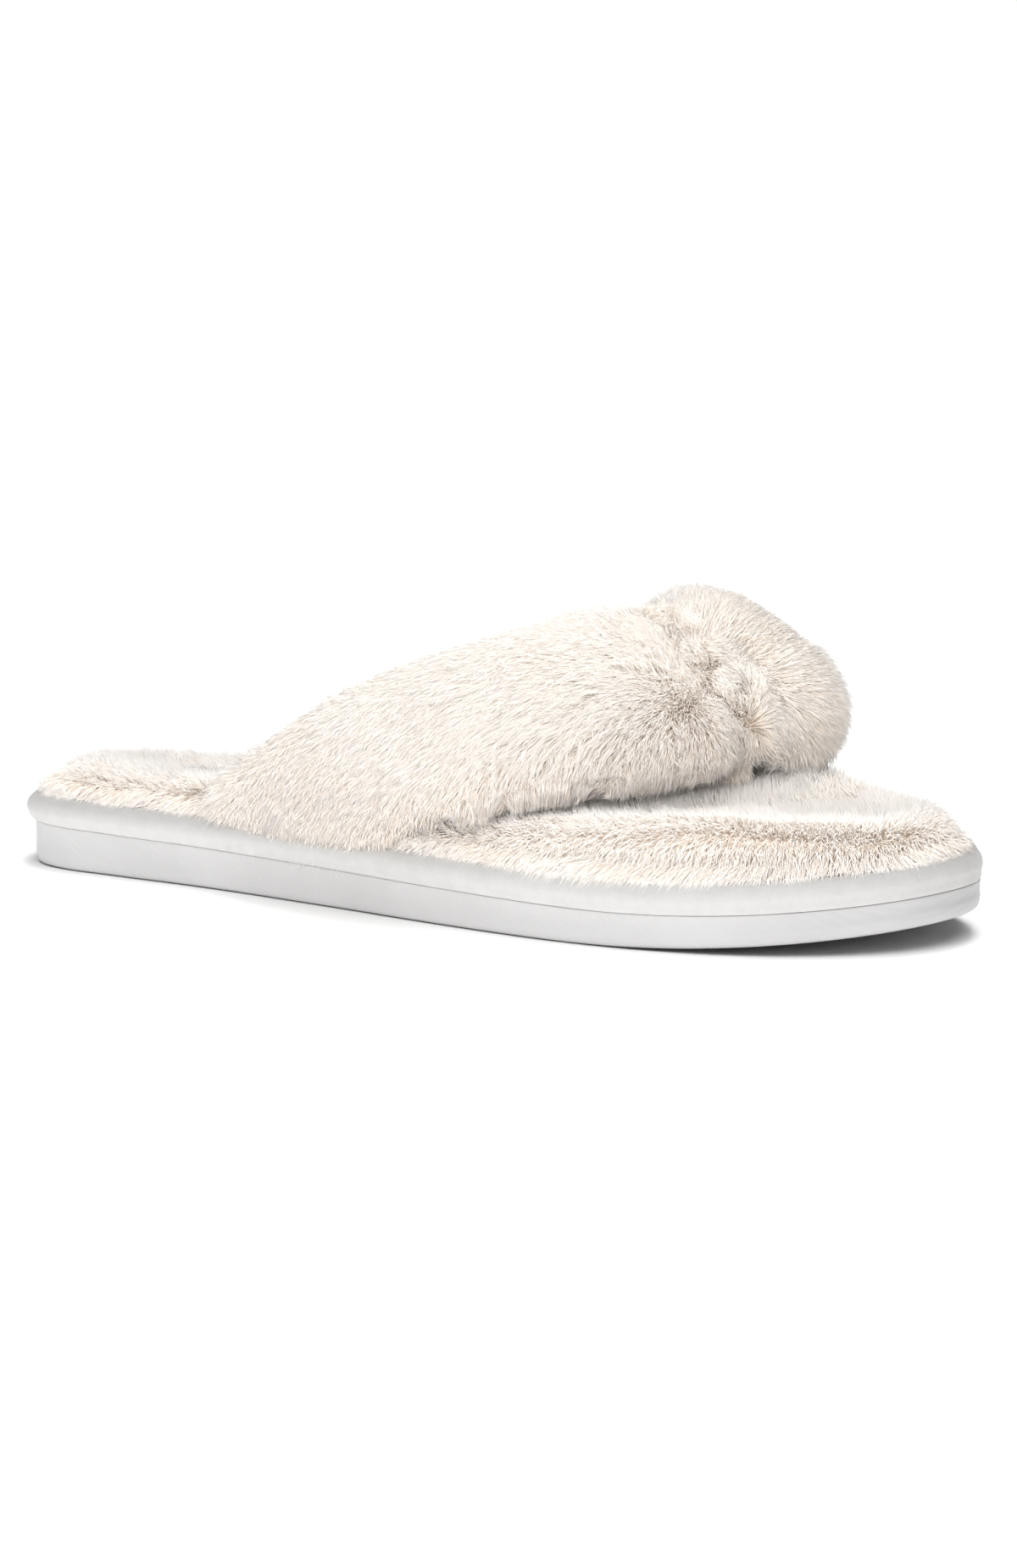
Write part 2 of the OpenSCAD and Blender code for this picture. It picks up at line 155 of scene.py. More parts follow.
def half_w(tab, x):
    s = np.clip(np.asarray(x, float) / L, 0, 1)
    return curve(ST, tab, s) * np.sqrt(np.maximum(0, s * (1 - s)))


class Rim:
    """The outline with m points along each side, and what follows from it."""

    def __init__(self, m):
        self.m, self.n = m, 2 * m
        j = np.arange(self.n)
        a = np.where(j <= m, j, self.n - j)
        x = L * (1 - np.cos(np.pi * a / m)) / 2
        y = np.where(j <= m, -half_w(FULL_OUTER, x), half_w(FULL_INNER, x))
        self.p = np.stack([x, y], -1)
        # the direction is taken over the CAD's own point spacing, so the inset rings agree
        step = max(1, m // 40)
        t = unit(np.roll(self.p, -step, 0) - np.roll(self.p, step, 0))
        self.inn = np.stack([-t[:, 1], t[:, 0]], -1)
        self.side = j <= m

    def at(self, u):
        return self.p + np.broadcast_to(np.asarray(u, float), (self.n,))[:, None] * self.inn


def z_under(x):
    return 6.5 * np.clip((x - 175) / 80, 0, 1.2) ** 2


def z_deck(x):
    return z_under(x) + lerp(11.2, 6.8, np.clip(x / L, 0, 1))


def over(x):
    return lerp(2.0, 0.4, np.clip(x / L, 0, 1))


def strap_gap(rim):
    side = np.where(rim.side, 0, 8)
    x = rim.p[:, 0]
    return smooth(0, 11, x - (52 + side)) * (1 - smooth(0, 12, x - (119 + side / 2)))


def toe_puff(x):
    return curve([0, 130, 170, 205, 228, 255], [0, 0, 0.85, 1.35, 0.9, 0.4], np.clip(x, 0, 255))


# where the sole's own axes lie in the row frame, from the CAD outsole
_y = [float(-half_w(FULL_OUTER, np.linspace(0, L, 2001)).max()), float(half_w(FULL_INNER, np.linspace(0, L, 2001)).max())]
SHIFT = np.array([L / 2 - (o_lo.x + o_hi.x) * 500, (_y[0] + _y[1]) / 2 - (o_lo.y + o_hi.y) * 500, 0.0])


def place(p):
    return (np.asarray(p, float) - SHIFT) / 1000.0


# ---- meshes ----------------------------------------------------------------
def new_mesh(name, verts, faces, smooth_shade=True, mats=None, mat_index=None):
    """A mesh object from vertices in the sole's axes and a list of faces."""
    me = bpy.data.meshes.new(name)
    me.from_pydata(place(verts).tolist(), [], [list(map(int, f)) for f in faces])
    me.validate()
    me.update()
    if smooth_shade:
        me.polygons.foreach_set("use_smooth", [True] * len(me.polygons))
    ob = bpy.data.objects.new(name, me)
    SCENE.collection.objects.link(ob)
    for m in mats or []:
        me.materials.append(m)
    if mat_index is not None:
        me.polygons.foreach_set("material_index", mat_index)
    return ob


def outward(ob):
    bm = bmesh.new()
    bm.from_mesh(ob.data)
    bmesh.ops.recalc_face_normals(bm, faces=bm.faces)
    bm.to_mesh(ob.data)
    bm.free()
    return ob


def ring_faces(n, k, closed_k=False):
    """Quads between k rings of n points each, stored ring after ring."""
    f = []
    for a in range(k if closed_k else k - 1):
        b = (a + 1) % k
        for i in range(n):
            j = (i + 1) % n
            f.append((a * n + i, a * n + j, b * n + j, b * n + i))
    return f


def strips(rim, o, flip=False):
    """Faces that close a ring of the rim straight across, from side to side."""
    n, m = rim.n, rim.m
    f = [(o, o + n - 1, o + 1), (o + m - 1, o + m + 1, o + m)]
    f += [(o + i, o + n - i, o + n - i - 1, o + i + 1) for i in range(1, m - 1)]
    return [tuple(reversed(q)) for q in f] if flip else f


# ---------------------------------------------------------------------------
# Materials: every one is built from nodes in the object's own space, in metres
# ---------------------------------------------------------------------------
def material(name, base, rough=0.6, **sockets):
    m = bpy.data.materials.new(name)
    m.use_nodes = True
    nt = m.node_tree
    b = nt.nodes["Principled BSDF"]
    b.inputs["Base Color"].default_value = (*base, 1)
    b.inputs["Roughness"].default_value = rough
    for k, v in sockets.items():
        b.inputs[k.replace("_", " ")].default_value = v
    m.diffuse_color = (*base, 1)
    return m, nt, b


def coords(nt, scale=(1, 1, 1), rot=(0, 0, 0)):
    tc = nt.nodes.new("ShaderNodeTexCoord")
    mp = nt.nodes.new("ShaderNodeMapping")
    mp.inputs["Scale"].default_value = scale
    mp.inputs["Rotation"].default_value = rot
    nt.links.new(tc.outputs["Object"], mp.inputs["Vector"])
    return mp.outputs["Vector"]


def noise_tex(nt, vec, scale, detail=3, rough=0.55, dist=0.0):
    n = nt.nodes.new("ShaderNodeTexNoise")
    n.inputs["Scale"].default_value = scale
    n.inputs["Detail"].default_value = detail
    n.inputs["Roughness"].default_value = rough
    n.inputs["Distortion"].default_value = dist
    nt.links.new(vec, n.inputs["Vector"])
    return n.outputs["Fac"]


def ramp(nt, fac, stops):
    r = nt.nodes.new("ShaderNodeValToRGB")
    e = r.color_ramp.elements
    while len(e) < len(stops):
        e.new(0.5)
    for k, (p, c) in enumerate(stops):
        e[k].position = p
        e[k].color = (*c, 1) if len(c) == 3 else c
    nt.links.new(fac, r.inputs["Fac"])
    return r.outputs["Color"]


def bump(nt, b, height, dist, strength=1.0, after=None):
    n = nt.nodes.new("ShaderNodeBump")
    n.inputs["Distance"].default_value = dist
    n.inputs["Strength"].default_value = strength
    nt.links.new(height, n.inputs["Height"])
    if after is not None:
        nt.links.new(after, n.inputs["Normal"])
    nt.links.new(n.outputs["Normal"], b.inputs["Normal"])
    return n.outputs["Normal"]


def math_node(nt, op, a, b=None, clamp=False):
    n = nt.nodes.new("ShaderNodeMath")
    n.operation = op
    n.use_clamp = clamp
    for k, v in enumerate((a, b)):
        if v is None:
            continue
        if isinstance(v, (int, float)):
            n.inputs[k].default_value = v
        else:
            nt.links.new(v, n.inputs[k])
    return n.outputs[0]


def wave(nt, vec, scale, direction="X", dist=0.0, dscale=1.0, detail=0.0):
    n = nt.nodes.new("ShaderNodeTexWave")
    n.bands_direction = direction
    n.inputs["Scale"].default_value = scale
    n.inputs["Distortion"].default_value = dist
    n.inputs["Detail Scale"].default_value = dscale
    n.inputs["Detail"].default_value = detail
    nt.links.new(vec, n.inputs["Vector"])
    return n.outputs["Fac"]


def mix_rgb(nt, fac, a, b):
    n = nt.nodes.new("ShaderNodeMix")
    n.data_type = "RGBA"
    nt.links.new(fac, n.inputs[0])
    for k, v in ((6, a), (7, b)):
        if isinstance(v, tuple):
            n.inputs[k].default_value = (*v, 1)
        else:
            nt.links.new(v, n.inputs[k])
    return n.outputs[2]


def make_materials():
    out = {}
    # moulded outsole: off-white, fine slanted mould marks, a few soft smudges
    m, nt, b = material("outsole_moulded", (0.68, 0.67, 0.665), 0.5)
    v = coords(nt)
    big = noise_tex(nt, v, 35, 3)
    nt.links.new(ramp(nt, big, [(0.3, (0.58, 0.573, 0.572)), (0.7, (0.64, 0.633, 0.632))]), b.inputs["Base Color"])
    nt.links.new(ramp(nt, noise_tex(nt, v, 90, 2), [(0.3, (0.42,) * 3), (0.75, (0.6,) * 3)]), b.inputs["Roughness"])
    slant = wave(nt, coords(nt, rot=(0.0, 0.9, 0.35)), 190, "X", 3.2, 0.7, 2)
    fine = noise_tex(nt, coords(nt, (1, 1, 2.5)), 1500, 2)
    n1 = bump(nt, b, slant, 0.00012, 0.35)
    bump(nt, b, fine, 0.00006, 0.5, n1)
    out["outsole"] = m
    # rand: brushed microfibre, short suede grain
    m, nt, b = material("rand_microfibre", (0.72, 0.71, 0.695), 0.85, Sheen_Weight=0.25, Sheen_Roughness=0.5)
    v = coords(nt)
    cloud = noise_tex(nt, v, 260, 4, 0.6)
    grain = noise_tex(nt, v, 2600, 3, 0.65)
    both = math_node(nt, "ADD", math_node(nt, "MULTIPLY", cloud, 0.55), math_node(nt, "MULTIPLY", grain, 0.45))
    nt.links.new(ramp(nt, both, [(0.32, (0.615, 0.605, 0.593)), (0.5, (0.662, 0.653, 0.643)), (0.68, (0.695, 0.688, 0.68))]), b.inputs["Base Color"])
    n1 = bump(nt, b, grain, 0.00022, 0.6)
    bump(nt, b, cloud, 0.0005, 0.25, n1)
    out["rand"] = m
    # knitted backing under the pile, tan, seen only between the strands
    m, nt, b = material("pile_backing", (0.80, 0.68, 0.55), 0.9, Sheen_Weight=0.2)
    v = coords(nt)
    knit = math_node(nt, "MULTIPLY", wave(nt, v, 420, "X", 1.0, 2.0), wave(nt, v, 380, "Z", 1.0, 2.0))
    nt.links.new(ramp(nt, math_node(nt, "ADD", math_node(nt, "MULTIPLY", knit, 0.4), math_node(nt, "MULTIPLY", noise_tex(nt, v, 180, 3), 0.6)),
                      [(0.25, (0.89, 0.79, 0.68)), (0.7, (0.94, 0.87, 0.785))]), b.inputs["Base Color"])
    bump(nt, b, knit, 0.0003, 0.6)
    out["backing"] = m
    # strap lining: soft knitted fleece
    m, nt, b = material("lining_knit", (0.86, 0.82, 0.76), 0.9, Sheen_Weight=0.3)
    v = coords(nt, rot=(0.3, 0.2, 0.5))
    rib = wave(nt, v, 330, "X", 1.5, 1.2, 1)
    loop = wave(nt, v, 420, "Y", 2.5, 2.0, 1)
    h = math_node(nt, "MULTIPLY", rib, loop)
    nt.links.new(ramp(nt, math_node(nt, "ADD", math_node(nt, "MULTIPLY", h, 0.35), math_node(nt, "MULTIPLY", noise_tex(nt, v, 150, 3), 0.65)),
                      [(0.25, (0.78, 0.73, 0.66)), (0.7, (0.89, 0.86, 0.81))]), b.inputs["Base Color"])
    bump(nt, b, h, 0.0004, 0.7)
    out["lining"] = m
    # woven tape
    m, nt, b = material("woven_tape", (0.82, 0.78, 0.72), 0.85)
    v = coords(nt)
    h = math_node(nt, "MAXIMUM", wave(nt, v, 700, "Z", 0.6, 2), wave(nt, v, 700, "X", 0.6, 2))
    nt.links.new(ramp(nt, h, [(0.2, (0.66, 0.60, 0.53)), (0.8, (0.86, 0.82, 0.76))]), b.inputs["Base Color"])
    bump(nt, b, h, 0.0003, 0.8)
    out["webbing"] = m
    # thread
    m, nt, b = material("sewing_thread", (0.86, 0.84, 0.80), 0.6, Sheen_Weight=0.2)
    h = wave(nt, coords(nt, rot=(0.7, 0.3, 0.7)), 2600, "X")
    nt.links.new(ramp(nt, h, [(0.1, (0.74, 0.71, 0.66)), (0.8, (0.88, 0.86, 0.82))]), b.inputs["Base Color"])
    bump(nt, b, h, 0.0001, 0.6)
    out["thread"] = m
    # blank woven label, satin, and its blue-grey edge yarn
    m, nt, b = material("label_satin", (0.84, 0.85, 0.87), 0.38, Sheen_Weight=0.3)
    v = coords(nt)
    h = math_node(nt, "ADD", math_node(nt, "MULTIPLY", wave(nt, v, 900, "X", 0.4, 2), 0.3), math_node(nt, "MULTIPLY", wave(nt, v, 1300, "Y", 0.4, 2), 0.7))
    nt.links.new(ramp(nt, h, [(0.2, (0.76, 0.78, 0.82)), (0.8, (0.88, 0.89, 0.905))]), b.inputs["Base Color"])
    bump(nt, b, h, 0.00012, 0.7)
    out["label"] = m
    m, nt, b = material("label_edge_yarn", (0.50, 0.56, 0.68), 0.6)
    h = wave(nt, coords(nt, rot=(0, 0, 0.785)), 1500, "X")
    nt.links.new(ramp(nt, h, [(0.2, (0.40, 0.46, 0.60)), (0.8, (0.58, 0.64, 0.75))]), b.inputs["Base Color"])
    bump(nt, b, h, 0.00015, 0.7)
    out["label_edge"] = m
    # hidden parts
    m, nt, b = material("open_cell_foam", (0.90, 0.86, 0.74), 0.9)
    vo = nt.nodes.new("ShaderNodeTexVoronoi")
    vo.inputs["Scale"].default_value = 900
    nt.links.new(coords(nt), vo.inputs["Vector"])
    nt.links.new(ramp(nt, vo.outputs["Distance"], [(0.05, (0.72, 0.66, 0.52)), (0.5, (0.93, 0.89, 0.78))]), b.inputs["Base Color"])
    bump(nt, b, vo.outputs["Distance"], 0.0004, 0.8)
    out["foam"] = m
    m, nt, b = material("fibre_board", (0.70, 0.58, 0.42), 0.85)
    h = noise_tex(nt, coords(nt, (1, 3, 6)), 500, 5, 0.7)
    nt.links.new(ramp(nt, h, [(0.3, (0.56, 0.44, 0.30)), (0.7, (0.76, 0.65, 0.49))]), b.inputs["Base Color"])
    bump(nt, b, h, 0.0002, 0.6)
    out["board"] = m
    m, nt, b = material("moulded_nylon", (0.72, 0.72, 0.73), 0.45)
    h = noise_tex(nt, coords(nt), 700, 3)
    nt.links.new(ramp(nt, h, [(0.3, (0.67, 0.67, 0.68)), (0.7, (0.76, 0.76, 0.77))]), b.inputs["Base Color"])
    bump(nt, b, h, 0.0001, 0.5)
    out["nylon"] = m
    return out


MAT = make_materials()

# The pile's finishes. Its colour varies strand by strand and along each strand, by material slot; the warm and peach
# slots carry random tone and also painted shade, given more often in creases and on low edges.
PILE = []
for _name, _c in (("pile_root", (0.95, 0.865, 0.765)), ("pile_mid", (0.968, 0.918, 0.865)), ("pile_tip", (0.98, 0.95, 0.915)),
                  ("pile_tip_warm_tone_and_shade", (0.975, 0.93, 0.88)), ("pile_mid_peach_tone_and_shade", (0.962, 0.875, 0.79))):
    _m, _nt, _b = material(_name, _c, 0.62, Sheen_Weight=0.1, Sheen_Roughness=0.35)
    _b.inputs["Specular IOR Level"].default_value = 0.2
    _b.inputs["Anisotropic"].default_value = 0.4
    PILE.append(_m)
ROOT, MID, TIP, TIP_WARM_TONE_AND_SHADE, MID_PEACH_TONE_AND_SHADE = range(5)


class Envelope:
    """How far points lie outside CAD solids, in mm, from a grid: the tips of the pile keep to the faces they stand for."""

    def __init__(self, names, lo, hi, step):
        self.lo, self.step = np.asarray(lo, float), step
        n = np.ceil((np.asarray(hi, float) - self.lo) / step).astype(int) + 1
        axes = [self.lo[k] + step * np.arange(n[k]) for k in range(3)]
        grid = np.stack(np.meshgrid(*axes, indexing="ij"), -1).reshape(-1, 3)
        d = np.full(len(grid), 1e9)
        for name in names:
            ob = NODES[name]
            me = ob.data
            co = np.empty(len(me.vertices) * 3, np.float32)
            me.vertices.foreach_get("co", co)
            mw = np.array(ob.matrix_world)
            co = (co.reshape(-1, 3) @ mw[:3, :3].T + mw[:3, 3]) * 1000 + SHIFT
            tree = BVHTree.FromPolygons(co.tolist(), [tuple(q.vertices) for q in me.polygons])
            out = np.empty(len(grid))
            for i, p in enumerate(grid.tolist()):
                loc, nor, _, dist = tree.find_nearest(p)
                side = (p[0] - loc[0]) * nor[0] + (p[1] - loc[1]) * nor[1] + (p[2] - loc[2]) * nor[2]
                out[i] = dist if side >= 0 else -dist
            d = np.minimum(d, out)
        self.d = d.reshape(n)
        self.n = n

    def at(self, P):
        q = np.clip((P - self.lo) / self.step, 0, self.n - 1.001)
        i = q.astype(int)
        f = q - i
        out = 0.0
        for a in (0, 1):
            for b in (0, 1):
                for c in (0, 1):
                    w = (f[..., 0] if a else 1 - f[..., 0]) * (f[..., 1] if b else 1 - f[..., 1]) * (f[..., 2] if c else 1 - f[..., 2])
                    out = out + w * self.d[i[..., 0] + a, i[..., 1] + b, i[..., 2] + c]
        return out

    def slope(self, P):
        g = []
        for k in range(3):
            e = np.zeros(3)
            e[k] = self.step * 0.5
            g.append(self.at(P + e) - self.at(P - e))
        return unit(np.stack(g, -1))

    def keep_in(self, P, cap):
        """P drawn back where it is more than cap outside the solids."""
        for _ in range(2):
            far = np.maximum(0, self.at(P) - cap)
            P = P - self.slope(P) * (far * 0.9)[..., None]
        return P


# ---------------------------------------------------------------------------
# Pile: every strand is a closed, tapered, three-sided spike that bends as it is combed
# ---------------------------------------------------------------------------
def sample_faces(co, tris, density, rng, weight=None):
    """Points spread over triangles, density to the square millimetre: place, barycentric parts and triangle."""
    a, b, c = (co[tris[:, k]] for k in range(3))
    area = np.linalg.norm(np.cross(b - a, c - a), axis=1) / 2
    if weight is not None:
        area = area * weight
    n = int(round(area.sum() * density))
    cum = np.cumsum(area)
    # evenly stepped picks keep the cover even
    pick = (np.arange(n) + rng.random(n)) / n * cum[-1]
    t = np.minimum(np.searchsorted(cum, pick), len(tris) - 1)
    r1, r2 = np.sqrt(rng.random(n)), rng.random(n)
    w = np.stack([1 - r1, r1 * (1 - r2), r1 * r2], -1)
    p = (co[tris[t]] * w[:, :, None]).sum(1)
    return p, w, t


def strand_arrays(P, N, D, length, radius, rng, K=3, lift=(0.8, 0.2), jitter=0.16, wave_amp=0.25, lock=0.5, lock_size=3.2, seed=5, droop=0.0, env=None, cap=None, clear=None):
    """Vertices of the strands rooted at P (mm), leaving along N and combed along D."""
    n = len(P)
    J = rng.normal(0, jitter, (n, 3))
    Dt = unit(D + J)
    Nj = unit(N + rng.normal(0, jitter * 0.8, (n, 3)))
    pull = -slope_of(P, lock_size, seed) * lock
    pull = pull - N * (pull * N).sum(1, keepdims=True)
    side = unit(np.cross(N, Dt))
    phase = rng.random(n) * 2 * np.pi
    pts = [P - Nj * 0.35]
    cur = P - Nj * 0.1
    step = (length / K)[:, None]
    for k in range(K):
        s = (k + 0.5) / K
        a = lerp(lift[0], lift[1], s)
        if isinstance(a, np.ndarray):
            a = a[:, None]
        d = unit(Nj * a + Dt * (1 - a) + np.array([0, 0, -droop * s]))
        cur = cur + d * step
        e = (k + 1) / K
        swing = (np.sin(phase + e * 2.6)[:, None] - np.sin(phase)[:, None]) * side * wave_amp
        pts.append(cur + pull * (length[:, None] / 8.0) * e**1.6 * lock_size * 0.5 + swing)
    pts = np.stack(pts, 1)                                   # n, K+1, 3
    if env is not None:
        pts[:, 1:] = env.keep_in(pts[:, 1:], cap[:, None] - 0.5 * (1 - np.arange(1, K + 1) / K))
    if clear is not None:
        pts[:, 1:] = clear(pts[:, 1:])
    tang = np.empty_like(pts)
    tang[:, 0] = pts[:, 1] - pts[:, 0]
    tang[:, -1] = pts[:, -1] - pts[:, -2]
    tang[:, 1:-1] = pts[:, 2:] - pts[:, :-2]
    tang = unit(tang)
    u = unit(np.cross(tang, np.broadcast_to(side[:, None], tang.shape)) + 1e-9)
    v = np.cross(tang, u)
    taper = np.array([1.0, 0.92, 0.72, 0.4])[:K] if K == 3 else np.array([1.0, 0.8, 0.4])[:K]
    spin = (rng.random(n) * 2 * np.pi)[:, None, None]
    out = np.empty((n, 3 * K + 1, 3))
    for k in range(K):
        r = (radius * taper[k])[:, None]
        for c in range(3):
            ang = spin[:, 0] + c * 2 * np.pi / 3
            out[:, 3 * k + c] = pts[:, k] + r * (np.cos(ang) * u[:, k] + np.sin(ang) * v[:, k])
    out[:, -1] = pts[:, -1]
    return out


def strand_faces(K):
    f, part = [(0, 2, 1)], [0]
    for k in range(K - 1):
        for c in range(3):
            d = (c + 1) % 3
            f.append((3 * k + c, 3 * k + d, 3 * k + 3 + d, 3 * k + 3 + c))
            part.append(k)
    o = 3 * (K - 1)
    for c in range(3):
        f.append((o + c, o + (c + 1) % 3, 3 * K))
        part.append(K - 1)
    return f, np.array(part)


def strand_piece(name, verts, K, slots):
    """One mesh of many strands. slots[n, K] gives the material of each stretch of each strand."""
    n, per = verts.shape[:2]
    f, part = strand_faces(K)
    sizes = np.array([len(q) for q in f])
    flat = np.concatenate([np.array(q) for q in f])
    loops = (flat[None] + (np.arange(n) * per)[:, None]).ravel()
    starts = np.concatenate([[0], np.cumsum(np.tile(sizes, n))[:-1]])
    me = bpy.data.meshes.new(name)
    me.vertices.add(n * per)
    me.vertices.foreach_set("co", place(verts.reshape(-1, 3)).astype(np.float32).ravel())
    me.loops.add(len(loops))
    me.loops.foreach_set("vertex_index", loops.astype(np.int32))
    me.polygons.add(len(starts))
    me.polygons.foreach_set("loop_start", starts.astype(np.int32))
    me.polygons.foreach_set("material_index", slots[:, part].astype(np.int32).ravel())
    me.polygons.foreach_set("use_smooth", np.ones(len(starts), bool))
    me.update(calc_edges=True)
    for m in PILE:
        me.materials.append(m)
    ob = bpy.data.objects.new(name, me)
    SCENE.collection.objects.link(ob)
    return ob


def fur(prefix, P, N, D, length, radius, node, slot, rng, order=None, K=3, warm_tone_and_shade=None, **kw):
    """Strands split into pieces of under 190,000 triangles, each riding on the body."""
    per = 190000 // (6 * (K - 1) + 4)
    n = len(P)
    if order is None:
        order = P[:, 0]
    idx = np.argsort(order, kind="stable")
    P, N, D, length, radius = P[idx], N[idx], D[idx], length[idx], radius[idx]
    warm_tone_and_shade = (np.full(n, 0.25) if warm_tone_and_shade is None else warm_tone_and_shade)[idx]
    for key in ("lift",):
        if key in kw:
            kw[key] = tuple(q[idx] if isinstance(q, np.ndarray) else q for q in kw[key])
    if kw.get("cap") is not None:
        kw["cap"] = kw["cap"][idx]
    verts = strand_arrays(P, N, D, length, radius, rng, K=K, **kw)
    # the warmth weight picks the darker root, peach and warm-tip slots: random tone, and painted shade where the
    # callers raise it in creases and on low edges
    slots = np.empty((n, K), int)
    roll = rng.random(n)
    slots[:, 0] = ROOT
    if K == 3:
        slots[:, 1] = np.where(roll < warm_tone_and_shade, MID_PEACH_TONE_AND_SHADE, MID)
    else:
        slots[:, 0] = np.where(roll < warm_tone_and_shade * 0.5, ROOT, np.where(roll < 0.35 + 0.5 * warm_tone_and_shade, MID_PEACH_TONE_AND_SHADE, MID))
    slots[:, K - 1] = np.where(rng.random(n) < warm_tone_and_shade * 0.9, TIP_WARM_TONE_AND_SHADE, TIP)
    pieces = []
    count = max(1, math.ceil(n / per))
    print(prefix, n, "strands", n * (6 * (K - 1) + 4), "triangles")
    for k, part in enumerate(np.array_split(np.arange(n), count)):
        ob = strand_piece(f"{prefix}_{k:02d}", verts[part], K, slots[part])
        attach(ob, "root")
        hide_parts(node)
        pieces.append(ob)
    return pieces


# ---------------------------------------------------------------------------
# Sole
# ---------------------------------------------------------------------------
def build_outsole():
    rim = Rim(300)
    loops = [(2.6, 0.0, 0), (1.9, 0.02, 0), (1.3, 0.12, 0), (0.8, 0.33, 0), (0.42, 0.65, 0), (0.15, 1.1, 0), (0.0, 1.7, 0), (-0.1, 2.4, 0), (-0.15, 3.2, 0)]
    rows = []
    x = rim.p[:, 0]
    for u, h, _ in loops:
        q = rim.at(u)
        rows.append(np.column_stack([q, z_under(q[:, 0]) + h]))
    # the wall, a touch hollow between its foot and its top edge
    q0 = rim.at(-0.15)
    for k in range(1, 9):
        s = k / 9
        lo, hi = z_under(x) + 3.2, z_deck(x) - 0.4
        u = -0.15 + 0.16 * math.sin(math.pi * s)
        q = rim.at(u)
        rows.append(np.column_stack([q, lerp(lo, hi, s)]))
    for u, h in ((-0.14, -0.36), (-0.12, -0.16), (-0.03, -0.03), (0.25, 0.0)):
        q = rim.at(u)
        rows.append(np.column_stack([q, z_deck(q[:, 0]) + h]))
    v = np.array(rows)
    # faint waviness of the moulded wall
    k = np.arange(v.shape[0])
    body = np.sin(np.pi * np.clip((k - 5) / (len(k) - 9), 0, 1))[:, None]
    d = noise(v, 9.0, 3) * 0.05 + noise(v, 3.0, 4) * 0.025
    v[:, :, :2] -= (rim.inn[None] * (d * body)[:, :, None])
    verts = v.reshape(-1, 3)
    faces = [tuple(reversed(f)) for f in ring_faces(rim.n, v.shape[0])]
    faces += strips(rim, 0) + strips(rim, (v.shape[0] - 1) * rim.n, True)
    ob = outward(new_mesh("outsole_body", verts, faces, mats=[MAT["outsole"]]))
    # tread: chevron grooves across the heel and the ball, with sloped walls
    cut_v, cut_f = [], []

    def groove(xc, w):
        prof = [(-1.2, -w / 2), (1.2, -w / 2), (3.7, 0), (1.2, w / 2), (-1.2, w / 2), (1.3, 0)]
        o = len(cut_v)
        for z, g in ((-1.0, 0.25), (1.6, -0.12)):
            for px, py in prof:
                mid = 1.25 if abs(py) < 0.1 else 0.0
                side = 1 if px > mid + 0.6 or (abs(py) < 0.1 and px > 2) else -1
                cut_v.append((xc + px + side * g, py, z))
        cut_f.extend([(o + 5, o + 4, o + 3, o + 2), (o + 5, o + 2, o + 1, o), (o + 6, o + 7, o + 8, o + 11), (o + 11, o + 8, o + 9, o + 10)])
        for i in range(6):
            j = (i + 1) % 6
            cut_f.append((o + i, o + j, o + 6 + j, o + 6 + i))

    xs = 26.0
    while xs <= 86:
        groove(xs, 34)
        xs += 11
    xs = 126.0
    while xs <= 172:
        groove(xs, 56)
        xs += 11
    cutter = outward(new_mesh("tread_cutter", np.array(cut_v), cut_f, smooth_shade=False))
    mod = ob.modifiers.new("tread", "BOOLEAN")
    mod.operation, mod.solver, mod.object = "DIFFERENCE", "EXACT", cutter
    dg = bpy.context.evaluated_depsgraph_get()
    me = bpy.data.meshes.new_from_object(ob.evaluated_get(dg))
    ob.modifiers.clear()
    ob.data = me
    bpy.data.objects.remove(cutter)
    me.set_sharp_from_angle(angle=math.radians(35))
    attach(ob, "root")
    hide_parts("outsole")
    return ob


def build_rand():
    rim = Rim(320)
    x = rim.p[:, 0]
    o = over(x)
    tab = np.array([[3.3, .04, 0], [.5, .03, 0], [-.03, .42, -.5], [0, 2.1, -1], [-.25, 3.6, -1], [0, 5.3, -.7], [.7, 6.7, 0], [2.6, 7.2, 0], [4.1, 6.8, 0], [4.9, 6.15, 0]])
    t = np.linspace(0, 9, 37)
    fine = curve(np.arange(10), tab, t)
    inner = [[4.2, 6.0, 0], [3.4, 5.9, 0], [2.5, 6.0, 0], [1.3, 5.6, 0], [1.2, 4.4, -.7], [.9, 3.6, -1], [1.1, 2.7, -1], [1.2, 1.7, -.5], [1.4, 1.2, 0], [3.3, 1.18, 0]]
    rows = []
    for a, h, c in list(fine) + inner:
        u = a + c * o
        q = rim.at(u)
        rows.append(np.column_stack([q, z_deck(q[:, 0]) + h]))
    v = np.array(rows)
    # padded look: slow swells, and small puckers where the cloth is pulled over the top edge
    nrm2 = -rim.inn[None]
    kk = np.arange(v.shape[0])
    on = (np.sin(np.pi * np.clip((kk - 2) / 32, 0, 1)) ** 0.7 * (kk < 37))[:, None]
    ends = (1 - smooth(18, 60, x)) + smooth(195, 240, x)
    swell = noise(v * [1, 1, 0.3], 16.0, 11) * 0.14 + noise(v, 5.0, 12) * 0.05
    s = np.concatenate([[0], np.cumsum(np.linalg.norm(np.diff(rim.p, axis=0), axis=1))])
    pucker = np.abs(np.sin(s / 2.3 + 1.4 * noise(np.column_stack([s, s * 0, s * 0]), 9, 13)))[None] * (0.05 + 0.14 * ends[None])
    top = (np.clip((kk - 24) / 8.0, 0, 1) * (kk < 37))[:, None]
    d = swell * on - pucker * top
    v[:, :, :2] += nrm2 * (d * np.where(kk < 26, 1, 0.4)[:, None])[:, :, None]
    v[:, :, 2] += d * np.clip((kk - 20) / 10.0, 0, 1)[:, None] * (kk < 37)[:, None]
    verts = v.reshape(-1, 3)
    ob = outward(new_mesh("rand_wrap", verts, ring_faces(rim.n, v.shape[0], True), mats=[MAT["rand"]]))
    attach(ob, "root")
    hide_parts("rand_cover")
    return ob


